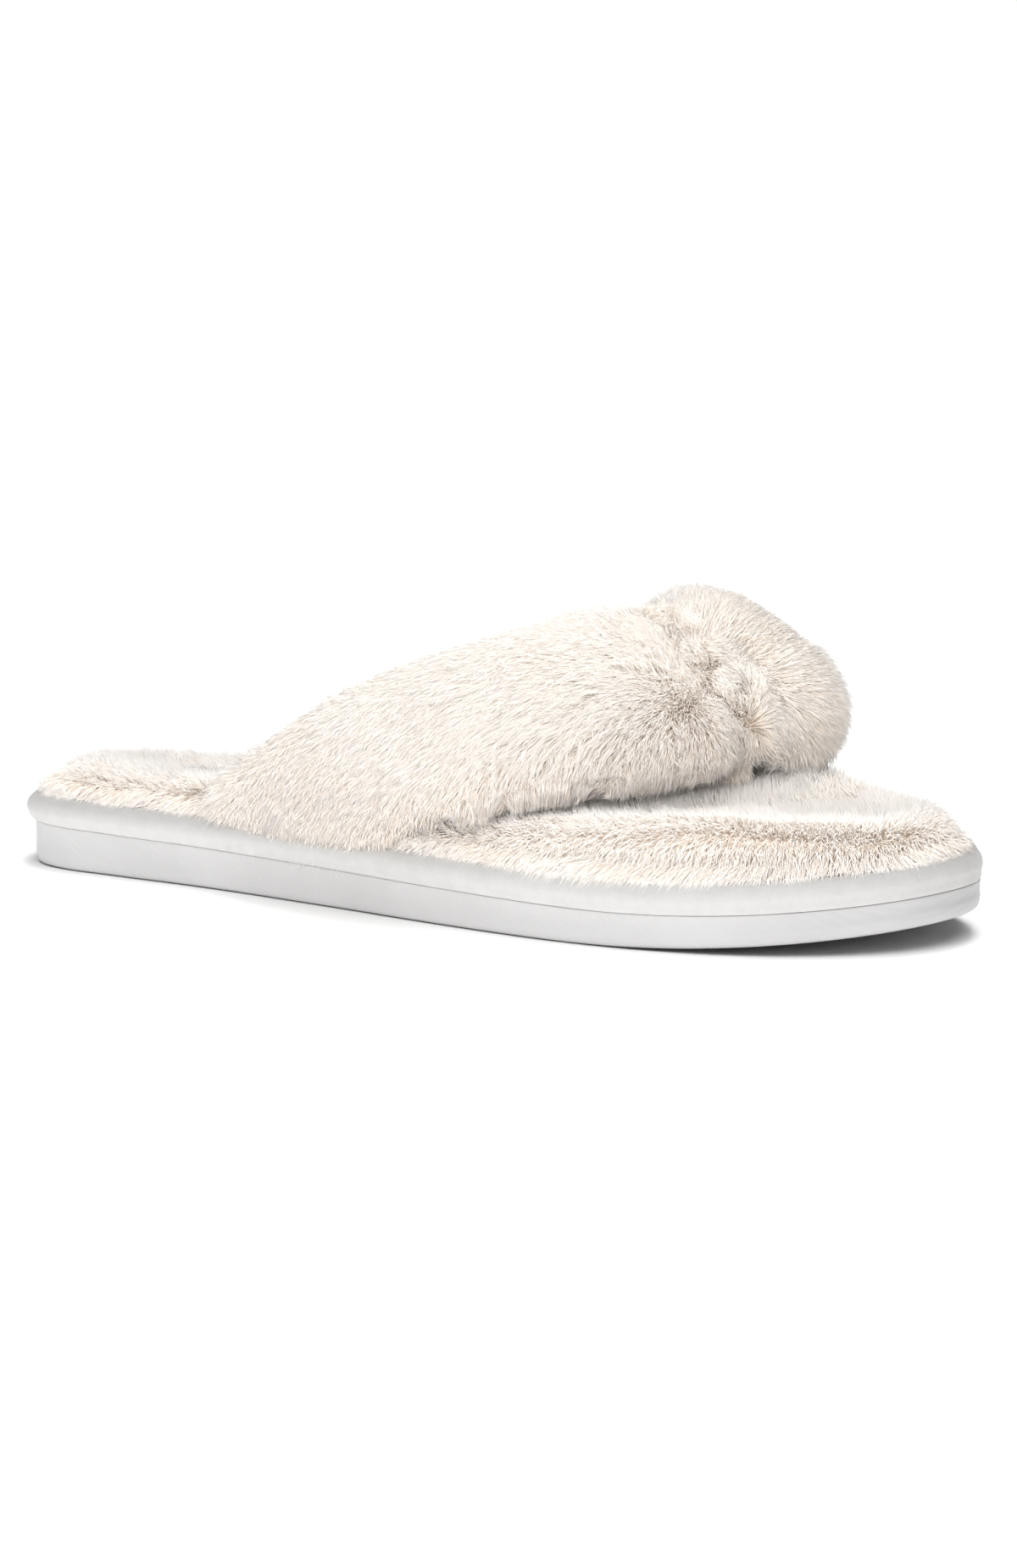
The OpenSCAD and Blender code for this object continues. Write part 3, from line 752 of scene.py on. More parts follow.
def build_welt_stitches():
    """A lockstitch line: one short bowed stitch after another, sunk at each end."""
    rim = Rim(400)
    q = rim.at(5.0)
    z = z_deck(q[:, 0]) + 6.55
    p = np.column_stack([q, z])
    s = np.concatenate([[0], np.cumsum(np.linalg.norm(np.diff(np.vstack([p, p[:1]]), axis=0), axis=1))])
    total = s[-1]
    count = int(total / 3.2)
    ring = np.vstack([p, p[:1]])
    inn = np.vstack([rim.inn, rim.inn[:1]])
    verts, faces = [], []
    seg, rnd = 6, 6
    for k in range(count):
        a = (k + 0.08) * total / count
        b = (k + 0.92) * total / count
        d = np.linspace(a, b, seg + 1)
        c = np.stack([np.interp(d, s, ring[:, i]) for i in range(3)], -1)
        w = np.stack([np.interp(d, s, inn[:, i]) for i in range(2)], -1)
        w = np.column_stack([w, np.zeros(len(w))])
        hump = np.sin(np.linspace(0, np.pi, seg + 1))
        c[:, 2] += 0.28 * hump - 0.1
        r = 0.1 + 0.14 * hump
        o = len(verts)
        for i in range(seg + 1):
            for j in range(rnd):
                ang = 2 * np.pi * j / rnd
                verts.append(c[i] + r[i] * (np.cos(ang) * w[i] + np.sin(ang) * np.array([0, 0, 1])))
        for i in range(seg):
            for j in range(rnd):
                j2 = (j + 1) % rnd
                faces.append((o + i * rnd + j, o + i * rnd + j2, o + (i + 1) * rnd + j2, o + (i + 1) * rnd + j))
        faces.append(tuple(o + j for j in reversed(range(rnd))))
        faces.append(tuple(o + seg * rnd + j for j in range(rnd)))
    ob = outward(new_mesh("welt_stitches", np.array(verts), faces, mats=[MAT["thread"]]))
    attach(ob, "root")
    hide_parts("welt_thread")
    return ob


# ---------------------------------------------------------------------------
# Footbed: a padded skin a few millimetres under the tips of the pile, and the pile on it
# ---------------------------------------------------------------------------
def footbed_surface(m, depth, across):
    """Rings of the padded top, depth mm under the CAD pile cover's face."""
    rim = Rim(m)
    prof = np.array([[6.6, 7.0, 8, 0], [5.3, 8.0, 9.4, .3], [5, 9.4, 9.7, 1], [5.8, 11.2, 9.5, 2.4], [7.8, 12.9, 8.5, 3.8],
                     [10.5, 13.8, 7.5, 4.6], [14.5, 14.2, 5, 4.8], [23, 13.0, 3, 3.2]])
    t = np.linspace(0, 7, 29)
    fine = curve(np.arange(8), prof, t)
    d = np.gradient(fine[:, :2], axis=0)
    nrm = unit(np.stack([d[:, 1], -d[:, 0]], -1))          # inward and down from the face
    gap, puff = strap_gap(rim), toe_puff(rim.p[:, 0])
    rows = []
    for (u, h, g, pf), nn in zip(fine, nrm):
        uu = u + nn[0] * depth + g * gap
        q = rim.at(uu)
        rows.append(np.column_stack([q, z_deck(q[:, 0]) + h + pf * puff + nn[1] * depth]))
    v = np.array(rows)
    return rim, v, nrm


def build_footbed():
    depth = 2.9
    rim, v, nrm = footbed_surface(160, depth, 14)
    K = v.shape[0]
    n, m = rim.n, rim.m
    verts = list(v.reshape(-1, 3))
    faces = [tuple(reversed(f)) for f in ring_faces(n, K)]
    top = (K - 1) * n
    # interior of the top, in strips from side to side
    A = 16
    idx = np.zeros((m + 1, A + 1), int)
    for i in range(m + 1):
        a, b = top + i % n, top + (n - i) % n
        pa, pb = v[-1][i % n], v[-1][(n - i) % n]
        idx[i, 0], idx[i, A] = a, b
        if i in (0, m):
            idx[i, :] = a
            continue
        for k in range(1, A):
            s = k / A
            q = lerp(pa, pb, s)
            verts.append(q + [0, 0, -0.7 * math.sin(math.pi * s) ** 2])
            idx[i, k] = len(verts) - 1
    for i in range(m):
        for k in range(A):
            q = [idx[i, k], idx[i + 1, k], idx[i + 1, k + 1], idx[i, k + 1]]
            q = [q[j] for j in range(4) if q[j] != q[j - 1]]
            if len(set(q)) >= 3:
                faces.append(tuple(q))
    # the underside, just inside the face
    low = len(verts)
    for p in v[0]:
        verts.append(p + [0, 0, -0.3])
    faces += [(low + i, low + (i + 1) % n, (i + 1) % n, i) for i in range(n)]
    faces += strips(rim, low)
    verts = np.array(verts)
    verts[:low, 2] += noise(verts[:low], 24, 21) * 0.35 + noise(verts[:low], 9, 22) * 0.18
    ob = outward(new_mesh("footbed_skin", verts, faces, mats=[MAT["backing"]]))
    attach(ob, "root")
    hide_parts("footbed_pile_cover")
    return ob


def mesh_arrays(ob):
    """Vertices (sole's axes, mm), triangles and smooth vertex normals of a mesh object."""
    me = ob.data
    co = np.empty(len(me.vertices) * 3, np.float32)
    me.vertices.foreach_get("co", co)
    co = co.reshape(-1, 3).astype(float) * 1000 + SHIFT
    me.calc_loop_triangles()
    tr = np.empty(len(me.loop_triangles) * 3, np.int32)
    me.loop_triangles.foreach_get("vertices", tr)
    tr = tr.reshape(-1, 3)
    fn = np.cross(co[tr[:, 1]] - co[tr[:, 0]], co[tr[:, 2]] - co[tr[:, 0]])
    vn = np.zeros_like(co)
    for k in range(3):
        np.add.at(vn, tr[:, k], fn)
    return co, tr, unit(vn)


LABEL = dict(x=46.0, y=1.0, lx=24.0, ly=14.0)
FOOT_DENSITY, STRAP_DENSITY = 7.0, 10.5
_step = 1.6
ENV_SOLE = Envelope(("footbed_pile_cover", "rand_cover"), (-6, -56, 12), (261, 56, 36), _step)


def make_inset():
    """How far inside the sole's outline a place lies, in mm, on a grid of 1 mm."""
    rim = Rim(320)
    gx, gy = np.arange(-8, 264, 1.0), np.arange(-60, 61, 1.0)
    g = np.stack(np.meshgrid(gx, gy, indexing="ij"), -1).reshape(-1, 2)
    out = np.empty(len(g))
    for k in range(0, len(g), 2000):
        d = g[k:k + 2000, None] - rim.p[None]
        q = (d**2).sum(-1)
        i = q.argmin(1)
        out[k:k + 2000] = (d[np.arange(len(i)), i] * rim.inn[i]).sum(-1)
    return out.reshape(len(gx), len(gy))


INSET = make_inset()


def inset_at(P):
    q = np.stack([np.clip(P[..., 0] + 8, 0, INSET.shape[0] - 1.01), np.clip(P[..., 1] + 60, 0, INSET.shape[1] - 1.01)], -1)
    i = q.astype(int)
    f = q - i
    return (INSET[i[..., 0], i[..., 1]] * (1 - f[..., 0]) * (1 - f[..., 1]) + INSET[i[..., 0] + 1, i[..., 1]] * f[..., 0] * (1 - f[..., 1])
            + INSET[i[..., 0], i[..., 1] + 1] * (1 - f[..., 0]) * f[..., 1] + INSET[i[..., 0] + 1, i[..., 1] + 1] * f[..., 0] * f[..., 1])


def over_rand(P):
    """Strand points kept on top of the rand, and off its outer side."""
    u = inset_at(P)
    top = z_deck(P[..., 0]) + np.interp(u, [-0.9, -0.5, 0.0, 0.7, 1.6, 2.6, 4.1, 4.9, 6.0], [3.6, 4.6, 5.6, 6.9, 7.3, 7.4, 7.1, 6.6, 6.0]) + 0.15
    out = P.copy()
    out[..., 2] = np.where(u < 6.0, np.maximum(P[..., 2], top), P[..., 2])
    return out


def footbed_fur(skin):
    rng = np.random.default_rng(101)
    co, tr, vn = mesh_arrays(skin)
    cen = co[tr].mean(1)
    nz = vn[tr].mean(1)[:, 2]
    w = np.where(nz < -0.35, 0.0, 1.0)
    P, bw, t = sample_faces(co, tr, FOOT_DENSITY, rng, w)
    N = unit((vn[tr[t]] * bw[:, :, None]).sum(1))
    # the label lies in the pile: the strands under it are left out
    lab = (np.abs(P[:, 0] - LABEL["x"]) < LABEL["lx"] / 2 - 1.0) & (np.abs(P[:, 1] - LABEL["y"]) < LABEL["ly"] / 2 - 1.0) & (N[:, 2] > 0.5)
    keep = ~lab
    P, N = P[keep], N[keep]
    n = len(P)
    out2 = unit(np.column_stack([(P[:, 0] - 127) * 0.25, P[:, 1], np.zeros(n)]))
    D = np.column_stack([-np.ones(n), np.zeros(n), np.zeros(n)]) * 0.75 + out2 * 0.35
    edge = 1 - smooth(0.3, 0.95, N[:, 2] + rng.normal(0, 0.09, n))
    # towards the edge the pile turns outward, and over it falls across the top of the rand
    u = inset_at(P)
    e = np.array([1.5, 0.0, 0.0])
    f = np.array([0.0, 1.5, 0.0])
    side = -unit(np.column_stack([inset_at(P + e) - inset_at(P - e), inset_at(P + f) - inset_at(P - f), np.full(n, 1e-6)]))
    turn = np.maximum(edge, 0.8 * (1 - smooth(8, 24, u + rng.normal(0, 2.0, n))))
    D = D * (1 - 0.6 * turn)[:, None] + side * (turn * 0.9)[:, None]
    D = D + noise3(P, 26, 31) * 0.34 + noise3(P, 8, 37) * 0.22
    D[:, 2] -= 0.8 * turn
    D = unit(D - N * (D * N).sum(1, keepdims=True))
    low = edge * (1 - smooth(8.0, 13.5, P[:, 2] - z_deck(P[:, 0])))
    length = 6.4 + 0.7 * noise(P, 12, 41) + rng.normal(0, 0.4, n) + 0.8 * edge
    radius = 0.098 * (1 + rng.normal(0, 0.12, n))
    # painted shade: the low term gives the pile at the foot of the edge, next to the rand, the darker warm slots more
    # often; the noise terms are random tone, in patches on the turned edge band
    warm_tone_and_shade = np.clip(0.1 + 0.18 * noise(P, 18, 43) + 0.25 * low * low + 0.1 * turn * np.maximum(0, noise(P, 14, 47)), 0.03, 0.8)
    cap = np.clip(rng.normal(0.75, 0.85, n), -0.9, 2.8) + 0.7 * noise(P, 5, 53) * (1 - edge) + 0.5 * low
    lift0 = lerp(0.84, 0.66, edge)
    lift1 = lerp(0.5, 0.16, edge) + rng.normal(0, 0.1, n)
    # under the toe-side edge of the straps the pile is not pressed flat: it stands up to meet them
    fx = np.interp(P[:, 1], [-40, -30, -20, -8, 4, 14, 26, 36, 46], [128, 140, 156, 172, 186, 193, 203, 196, 180])
    meet = np.exp(-((P[:, 0] - fx - 1.0) / 9.0) ** 2) * (1 - edge)
    length = length + 3.6 * meet
    cap = cap + 4.6 * meet
    lift0 = lift0 + 0.2 * meet
    lift1 = lift1 + 0.5 * meet
    return fur("footbed_pile", P, N, D, length, radius, "footbed_pile_cover", "footbed_pile", rng, K=2, warm_tone_and_shade=warm_tone_and_shade,
               lift=(lift0, lift1), lock=0.24, lock_size=2.2, seed=45, jitter=0.25, env=ENV_SOLE, cap=cap, clear=over_rand)


def footbed_fringe():
    """The lowest pile of the footbed, which grows out of the seam and falls over the top of the rand."""
    rng = np.random.default_rng(131)
    rim = Rim(700)
    ring = np.vstack([rim.p, rim.p[:1]])
    inn = np.vstack([rim.inn, rim.inn[:1]])
    s = np.concatenate([[0], np.cumsum(np.linalg.norm(np.diff(ring, axis=0), axis=1))])
    n = int(s[-1] * 24)
    d = rng.random(n) * s[-1]
    q = np.stack([np.interp(d, s, ring[:, i]) for i in range(2)], -1)
    w = unit(np.stack([np.interp(d, s, inn[:, i]) for i in range(2)], -1))
    u = rng.uniform(5.3, 8.6, n)
    xy = q + w * u[:, None]
    P = np.column_stack([xy, z_deck(xy[:, 0]) + 7.0 + (u - 5.3) * 0.95])
    side = np.column_stack([-w, np.zeros(n)])
    N = unit(side * 0.55 + np.array([0, 0, 0.85]))
    D = side + np.array([-0.25, 0, 0]) + noise3(P, 9, 133) * 0.35
    D = unit(D - N * (D * N).sum(1, keepdims=True) * 0.4)
    ball = np.exp(-((P[:, 0] - 188) / 34.0) ** 2) * (P[:, 1] < 0)
    reach = lerp(1.9, 0.1, ball) + 0.7 * noise(P, 7, 135) + rng.normal(0, 0.5, n)
    length = np.clip((u - reach) * 1.12 + 1.2, 3.0, 9.6)
    # painted shade: the fringe at the low seam over the rand takes the darker warm slots more often than the top of the
    # footbed; the noise term is random tone
    warm_tone_and_shade = np.clip(0.34 + 0.45 * noise(P, 12, 137), 0.05, 0.85)
    return fur("footbed_edge_pile", P, N, D, length, 0.098 * (1 + rng.normal(0, 0.12, n)), "footbed_pile_cover", "footbed_pile", rng,
               order=d, K=3, warm_tone_and_shade=warm_tone_and_shade, lift=(0.55, 0.0), lock=0.2, lock_size=2.2, seed=139, jitter=0.17, droop=0.7, clear=over_rand)


# ---------------------------------------------------------------------------
# Straps
# ---------------------------------------------------------------------------
OUTER = [([62, -21, 18.2], [126, -33, 17], 7), ([73, -26, 28], [133, -37, 22], 9), ([91, -29, 40], [144, -39, 26], 11),
         ([112, -27, 52], [157, -34, 29], 12), ([131, -20, 60], [171, -23, 31], 13), ([146, -8, 65], [184, -8, 33], 13.5),
         ([156, 3, 67.5], [192, 3, 35], 12.5), ([165, 9.4, 63.2], [188.7, 9.4, 41.4], 5.1), ([165, 13.8, 63], [188.5, 13.8, 41.5], 5)]
INNER = [([72, 24, 18.2], [130, 31, 17], 7), ([84, 25.5, 30], [142, 34.5, 23.5], 9), ([107, 26.5, 45], [161, 33, 28.5], 11),
         ([132, 28, 57.5], [184, 32.5, 31.5], 14.3), ([152, 29, 64.5], [201, 31.5, 34.5], 19.5), ([159, 24.5, 66], [205, 25.5, 37], 17.5),
         ([165, 18.6, 63.2], [188.7, 18.6, 41.4], 5.1), ([165, 14.2, 63], [188.5, 14.2, 41.5], 5)]


def sgnpow(v, p):
    return np.sign(v) * np.abs(v) ** p


class Arm:
    def __init__(self, rows, sign):
        self.rear = np.array([r[0] for r in rows], float)
        self.front = np.array([r[1] for r in rows], float)
        self.b = np.array([r[2] for r in rows], float)
        self.keys = np.arange(len(rows))
        self.last = len(rows) - 1
        self.sign = sign                                      # +1 outer, -1 inner

    def edge(self, t, e):
        return curve(self.keys, self.front if e else self.rear, t)

    def mid(self, t):
        return (self.edge(t, 0) + self.edge(t, 1)) / 2

    def frame(self, t):
        t = np.atleast_1d(np.asarray(t, float))
        w = unit(self.edge(t, 1) - self.edge(t, 0))
        d = self.mid(np.minimum(self.last, t + 0.15)) - self.mid(np.maximum(t - 0.02, 0))
        end = np.broadcast_to([0.0, float(self.sign), 0.0], d.shape)
        start = np.broadcast_to([0.0, 0.0, 1.0], d.shape)
        d = np.where((t < 0.02)[:, None], start, np.where((t > self.last - 1)[:, None], end, d))
        nn = unit(self.sign * np.cross(w, d))
        return w, nn

    def pt(self, t, f, u):
        """Section points: t along the strap, f round it in degrees (0 front edge, 90 pile face), u in from the surface."""
        t, f, u = np.broadcast_arrays(np.asarray(t, float), np.asarray(f, float), np.asarray(u, float))
        shape = t.shape
        t, f, u = t.ravel(), np.radians(f.ravel()), u.ravel()
        w, nn = self.frame(t)
        a = np.linalg.norm(self.edge(t, 1) - self.edge(t, 0), axis=1) / 2
        thick = curve(self.keys, self.b, t)
        foot = lerp(thick, 5.0, 0.6 * smooth(7, 12, thick))
        b = np.where(np.sin(f) < 0, foot, thick)
        p = (self.mid(t) + (np.maximum(0.6, a - u) * sgnpow(np.cos(f), 0.8))[:, None] * w
             + (np.maximum(0.35, b - u) * sgnpow(np.sin(f), 0.8))[:, None] * nn)
        return p.reshape(shape + (3,))


ARM_O, ARM_I = Arm(OUTER, 1), Arm(INNER, -1)
SKIN_IN = 4.4
F_LO, F_HI = -34.0, 214.0


def skin_depth(f):
    """How far the padded skin lies under the CAD surface: deep under the pile, shallow under the lining."""
    f = np.asarray(f, float)
    on_pile = smooth(-46, -26, f) * (1 - smooth(206, 226, f)) + smooth(314, 334, f)
    return lerp(1.75, SKIN_IN, np.clip(on_pile, 0, 1))


def build_strap_skin(name, arm, node, seed):
    T, F = 72, 64
    t = np.linspace(0, arm.last - 0.12, T)
    f = np.linspace(0, 360, F, endpoint=False)
    tt, ff = np.meshgrid(t, f, indexing="ij")
    v = arm.pt(tt, ff, skin_depth(ff))
    verts = v.reshape(-1, 3)
    faces = ring_faces(F, T)
    n0, n1 = len(verts), len(verts) + 1
    verts = np.vstack([verts, v[0].mean(0), v[-1].mean(0)])
    faces += [(n0, (i + 1) % F, i) for i in range(F)]
    o = (T - 1) * F
    faces += [(n1, o + i, o + (i + 1) % F) for i in range(F)]
    ob = outward(new_mesh(name, verts, faces, mats=[MAT["backing"]]))
    puff(ob, arm, seed)
    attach(ob, "root")
    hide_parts(node)
    return ob


def puff(ob, arm, seed):
    """The stuffed look of the strap: its skin is blown up as cloth, held at its base, its gather and its lining side."""
    rest = np.empty(len(ob.data.vertices) * 3, np.float32)
    ob.data.vertices.foreach_get("co", rest)
    rest = rest.reshape(-1, 3).astype(float)
    co = rest * 1000 + SHIFT
    g = ob.vertex_groups.new(name="held")
    T, F = 72, 64
    row = np.arange(len(co)) // F
    ang = (np.arange(len(co)) % F) * 360 / F
    lining = ((ang > 205) & (ang < 335))
    held = (row < 4) | (row > T - 9) | lining | (np.arange(len(co)) >= T * F)
    g.add([int(i) for i in np.nonzero(held)[0]], 1.0, "REPLACE")
    mod = ob.modifiers.new("cloth", "CLOTH")
    s = mod.settings
    s.quality = 5
    s.mass = 0.15
    s.use_pressure = True
    s.uniform_pressure_force = 4.0
    s.tension_stiffness = s.compression_stiffness = 25
    s.shear_stiffness = 10
    s.bending_stiffness = 0.4
    s.vertex_group_mass = "held"
    s.effector_weights.gravity = 0
    mod.collision_settings.use_collision = False
    mod.collision_settings.use_self_collision = False
    mod.point_cache.frame_start, mod.point_cache.frame_end = 1, 14
    for fr in range(1, 15):
        SCENE.frame_set(fr)
    dg = bpy.context.evaluated_depsgraph_get()
    e = ob.evaluated_get(dg)
    out = np.empty(len(e.data.vertices) * 3, np.float32)
    e.data.vertices.foreach_get("co", out)
    out = out.reshape(-1, 3).astype(float)
    ob.modifiers.clear()
    SCENE.frame_set(1)
    move = out - rest
    if not np.isfinite(move).all():
        move[:] = 0
    size = np.linalg.norm(move, axis=1, keepdims=True)
    cap = 0.0016
    move *= np.minimum(1.0, cap / np.maximum(size, 1e-9))
    ob.data.vertices.foreach_set("co", (rest + move).astype(np.float32).ravel())
    ob.data.update()
    ob.vertex_groups.clear()


def arm_field(arm, P):
    """For points near a strap: t along it, f round it, and the directions along it (towards the base) and round it (towards the front edge)."""
    T, F = 90, 72
    t = np.linspace(0, arm.last, T)
    f = np.linspace(0, 360, F, endpoint=False)
    tt, ff = np.meshgrid(t, f, indexing="ij")
    v = arm.pt(tt, ff, 3.0).reshape(-1, 3)
    dt = arm.pt(np.maximum(tt - 0.15, 0), ff, 3.0).reshape(-1, 3) - arm.pt(np.minimum(tt + 0.1, arm.last), ff, 3.0).reshape(-1, 3)
    df = arm.pt(tt, ff - 4, 3.0).reshape(-1, 3) - arm.pt(tt, ff + 4, 3.0).reshape(-1, 3)
    from mathutils.kdtree import KDTree
    kd = KDTree(len(v))
    for i, p in enumerate(v):
        kd.insert(p, i)
    kd.balance()
    near = np.array([kd.find(p)[1] for p in P])
    return tt.ravel()[near], ff.ravel()[near], unit(dt)[near], unit(df)[near]


ENV_STRAPS = Envelope(("strap_pile_cover_outer", "strap_pile_cover_inner", "strap_lining_outer", "strap_lining_inner", "thong_webbing"),
                      (52, -58, 10), (216, 56, 84), _step * 1.3)
WHORL = ARM_O.pt(6.2, 70.0, 2.0)
# the middle of the painted shade in the crease between the straps
CREASE_SHADE_SPOT = ARM_O.pt(7.6, 70.0, 0.0)


def strap_fur(prefix, skin, arm, node, seed):
    rng = np.random.default_rng(seed)
    co, tr, vn = mesh_arrays(skin)
    cen = co[tr].mean(1)
    t0, f0, _, _ = arm_field(arm, cen)
    on = (f0 <= F_HI + 8) | (f0 >= 360 + F_LO - 8)
    P, bw, t = sample_faces(co, tr, STRAP_DENSITY, rng, on.astype(float))
    N = unit((vn[tr[t]] * bw[:, :, None]).sum(1))
    tt, ff, along, front = arm_field(arm, P)
    ff = np.where(ff > 300, ff - 360, ff)
    n = len(P)
    pile_side = np.sin(np.radians(np.clip(ff, -34, 214)))
    # towards the base, with a fall to the front and down, and away from the whorl beside the gather
    down = np.broadcast_to([0.0, 0.0, -1.0], P.shape)
    away = P - WHORL
    dist = np.linalg.norm(away, axis=1)
    away = unit(away)
    if arm.sign > 0:
        ww = 2.4 * np.exp(-(dist / 26.0) ** 2)
    else:
        ww = 1.3 * np.exp(-(dist / 40.0) ** 2)
    low = 1 - smooth(10, 75, ff)
    D = along * 0.9 + front * (0.18 + 0.75 * low)[:, None] + down * (0.35 + 0.5 * low)[:, None] + away * ww[:, None]
    back = smooth(120, 190, ff)
    D = D - front * (0.55 * back)[:, None] + down * (0.3 * back)[:, None]
    base = 1 - smooth(0.3, 1.5, tt)
    D = D + down * (0.9 * base)[:, None]
    D = D + noise3(P, 24, seed + 1) * 0.26 + noise3(P, 7, seed + 2) * (0.10 + 0.3 * np.exp(-(dist / 28.0) ** 2))[:, None]
    D = unit(D - N * (D * N).sum(1, keepdims=True))
    near = np.exp(-(dist / 24.0) ** 2)
    length = 9.4 - 2.6 * near + 0.9 * noise(P, 10, seed + 3) + rng.normal(0, 0.6, n)
    pinch = smooth(arm.last - 1.3, arm.last - 0.6, tt)
    length = length - 2.2 * pinch
    radius = 0.082 * (1 + rng.normal(0, 0.12, n))
    lift0 = np.clip(0.76 + 0.15 * near + 0.08 * rng.normal(0, 1, n), 0.3, 0.95)
    lift1 = np.clip(0.15 + 0.3 * near + 0.1 * pinch, 0.0, 0.6)
    cap = np.clip(rng.normal(0.3, 0.5, n), -0.7, 1.6) + 2.6 * base
    length = length + 1.5 * base
    cap = cap + 7.0 * np.exp(-((P[:, 1] - 14) / 8.0) ** 2) * smooth(84, 112, ff)
    # painted shade: strands near the crease between the straps and on the low front side, where shade falls, take the
    # darker warm slots more often; the noise term is random tone
    warm_tone_and_shade = np.clip(0.22 + 0.28 * noise(P, 16, seed + 4) + 0.5 * np.exp(-(np.linalg.norm(P - CREASE_SHADE_SPOT, axis=1) / 14.0) ** 2) + 0.3 * low, 0.03, 0.95)
    return fur(prefix, P, N, D, length, radius, node, "strap_pile", rng, order=tt, K=3, warm_tone_and_shade=warm_tone_and_shade,
               lift=(lift0, lift1), lock=0.16, lock_size=2.0, seed=seed + 5, jitter=0.19, droop=0.1, env=ENV_STRAPS, cap=cap)


def build_lining(name, arm, node, seed):
    """The knitted lining on the foot side: a thin shell with soft wrinkles, closed along its edges."""
    T, F = 84, 30
    t = np.linspace(0, arm.last, T)
    f = np.linspace(F_HI + 1.5, 360 + F_LO - 1.5, F)
    tt, ff = np.meshgrid(t, f, indexing="ij")
    lump = noise(arm.pt(tt, ff, 0.3), 11, seed) * 0.35 + noise(arm.pt(tt, ff, 0.3), 4.5, seed + 1) * 0.12
    mid = np.sin(np.pi * (ff - f[0]) / (f[-1] - f[0]))
    out = arm.pt(tt, ff, 0.45 - lump * 0.5 * mid)
    inn = arm.pt(tt, ff, 1.5)
    verts = np.concatenate([out.reshape(-1, 3), inn.reshape(-1, 3)])
    o = T * F
    faces = []
    for i in range(T - 1):
        for j in range(F - 1):
            a, b, c, d = i * F + j, i * F + j + 1, (i + 1) * F + j + 1, (i + 1) * F + j
            faces.append((a, b, c, d))
            faces.append((o + a, o + d, o + c, o + b))
        for j in (0, F - 1):
            a, d = i * F + j, (i + 1) * F + j
            faces.append((a, d, o + d, o + a) if j == 0 else (a, o + a, o + d, d))
    for i in (0, T - 1):
        for j in range(F - 1):
            a, b = i * F + j, i * F + j + 1
            faces.append((a, o + a, o + b, b) if i == 0 else (a, b, o + b, o + a))
    ob = outward(new_mesh(name, verts, faces, mats=[MAT["lining"]]))
    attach(ob, "root")
    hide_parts(node)
    return ob


def build_toe_post():
    """Toe post: a sleeve of pile cloth, flared where it meets the strap and the footbed, with a seam down its back."""
    lo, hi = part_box("toe_post_cover")
    lo, hi = np.array(lo) * 1000 + SHIFT, np.array(hi) * 1000 + SHIFT
    cx, cy, r0 = (lo[0] + hi[0]) / 2, (lo[1] + hi[1]) / 2, (hi[0] - lo[0]) / 2
    R, S = 40, 26
    zs = np.linspace(lo[2] - 0.8, hi[2] + 3.0, R)
    verts = []
    for z in zs:
        s = (z - zs[0]) / (zs[-1] - zs[0])
        r = r0 - 1.7 + 1.1 * (1 - smooth(0, 0.25, s)) + 1.4 * smooth(0.75, 1, s) - 0.25 * math.sin(math.pi * s)
        for k in range(S):
            a = 2 * math.pi * k / S
            seam = 0.35 * math.exp(-(((a - math.pi + math.pi) % (2 * math.pi) - math.pi) / 0.16) ** 2)
            verts.append((cx + (r - seam) * math.cos(a), cy + (r - seam) * math.sin(a), z))
    n0 = len(verts)
    verts += [(cx, cy, zs[0]), (cx, cy, zs[-1])]
    verts = np.array(verts)
    verts[:n0, :2] += noise3(verts[:n0], 3.0, 71)[:, :2] * 0.18
    faces = ring_faces(S, R)
    faces += [(n0, (i + 1) % S, i) for i in range(S)] + [(n0 + 1, (R - 1) * S + i, (R - 1) * S + (i + 1) % S) for i in range(S)]
    ob = outward(new_mesh("toe_post_sleeve", verts, faces, mats=[MAT["backing"]]))
    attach(ob, "root")
    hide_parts("toe_post_cover")
    rng = np.random.default_rng(73)
    co, tr, vn = mesh_arrays(ob)
    cen = co[tr].mean(1)
    w = ((np.abs(vn[tr].mean(1)[:, 2]) < 0.8)).astype(float)
    P, bw, t = sample_faces(co, tr, 6.0, rng, w)
    N = unit((vn[tr[t]] * bw[:, :, None]).sum(1))
    D = np.broadcast_to([0.0, 0.0, -1.0], P.shape) + noise3(P, 5, 75) * 0.5
    D = unit(D - N * (D * N).sum(1, keepdims=True))
    n = len(P)
    fur("toe_post_pile", P, N, D, 3.6 + rng.normal(0, 0.35, n), 0.1 * (1 + rng.normal(0, 0.1, n)), "toe_post_cover", "strap_pile", rng,
        order=P[:, 2], K=3, warm_tone_and_shade=np.full(n, 0.6), lift=(0.6, 0.15), lock=0.3, lock_size=2.2, seed=77)
    return ob


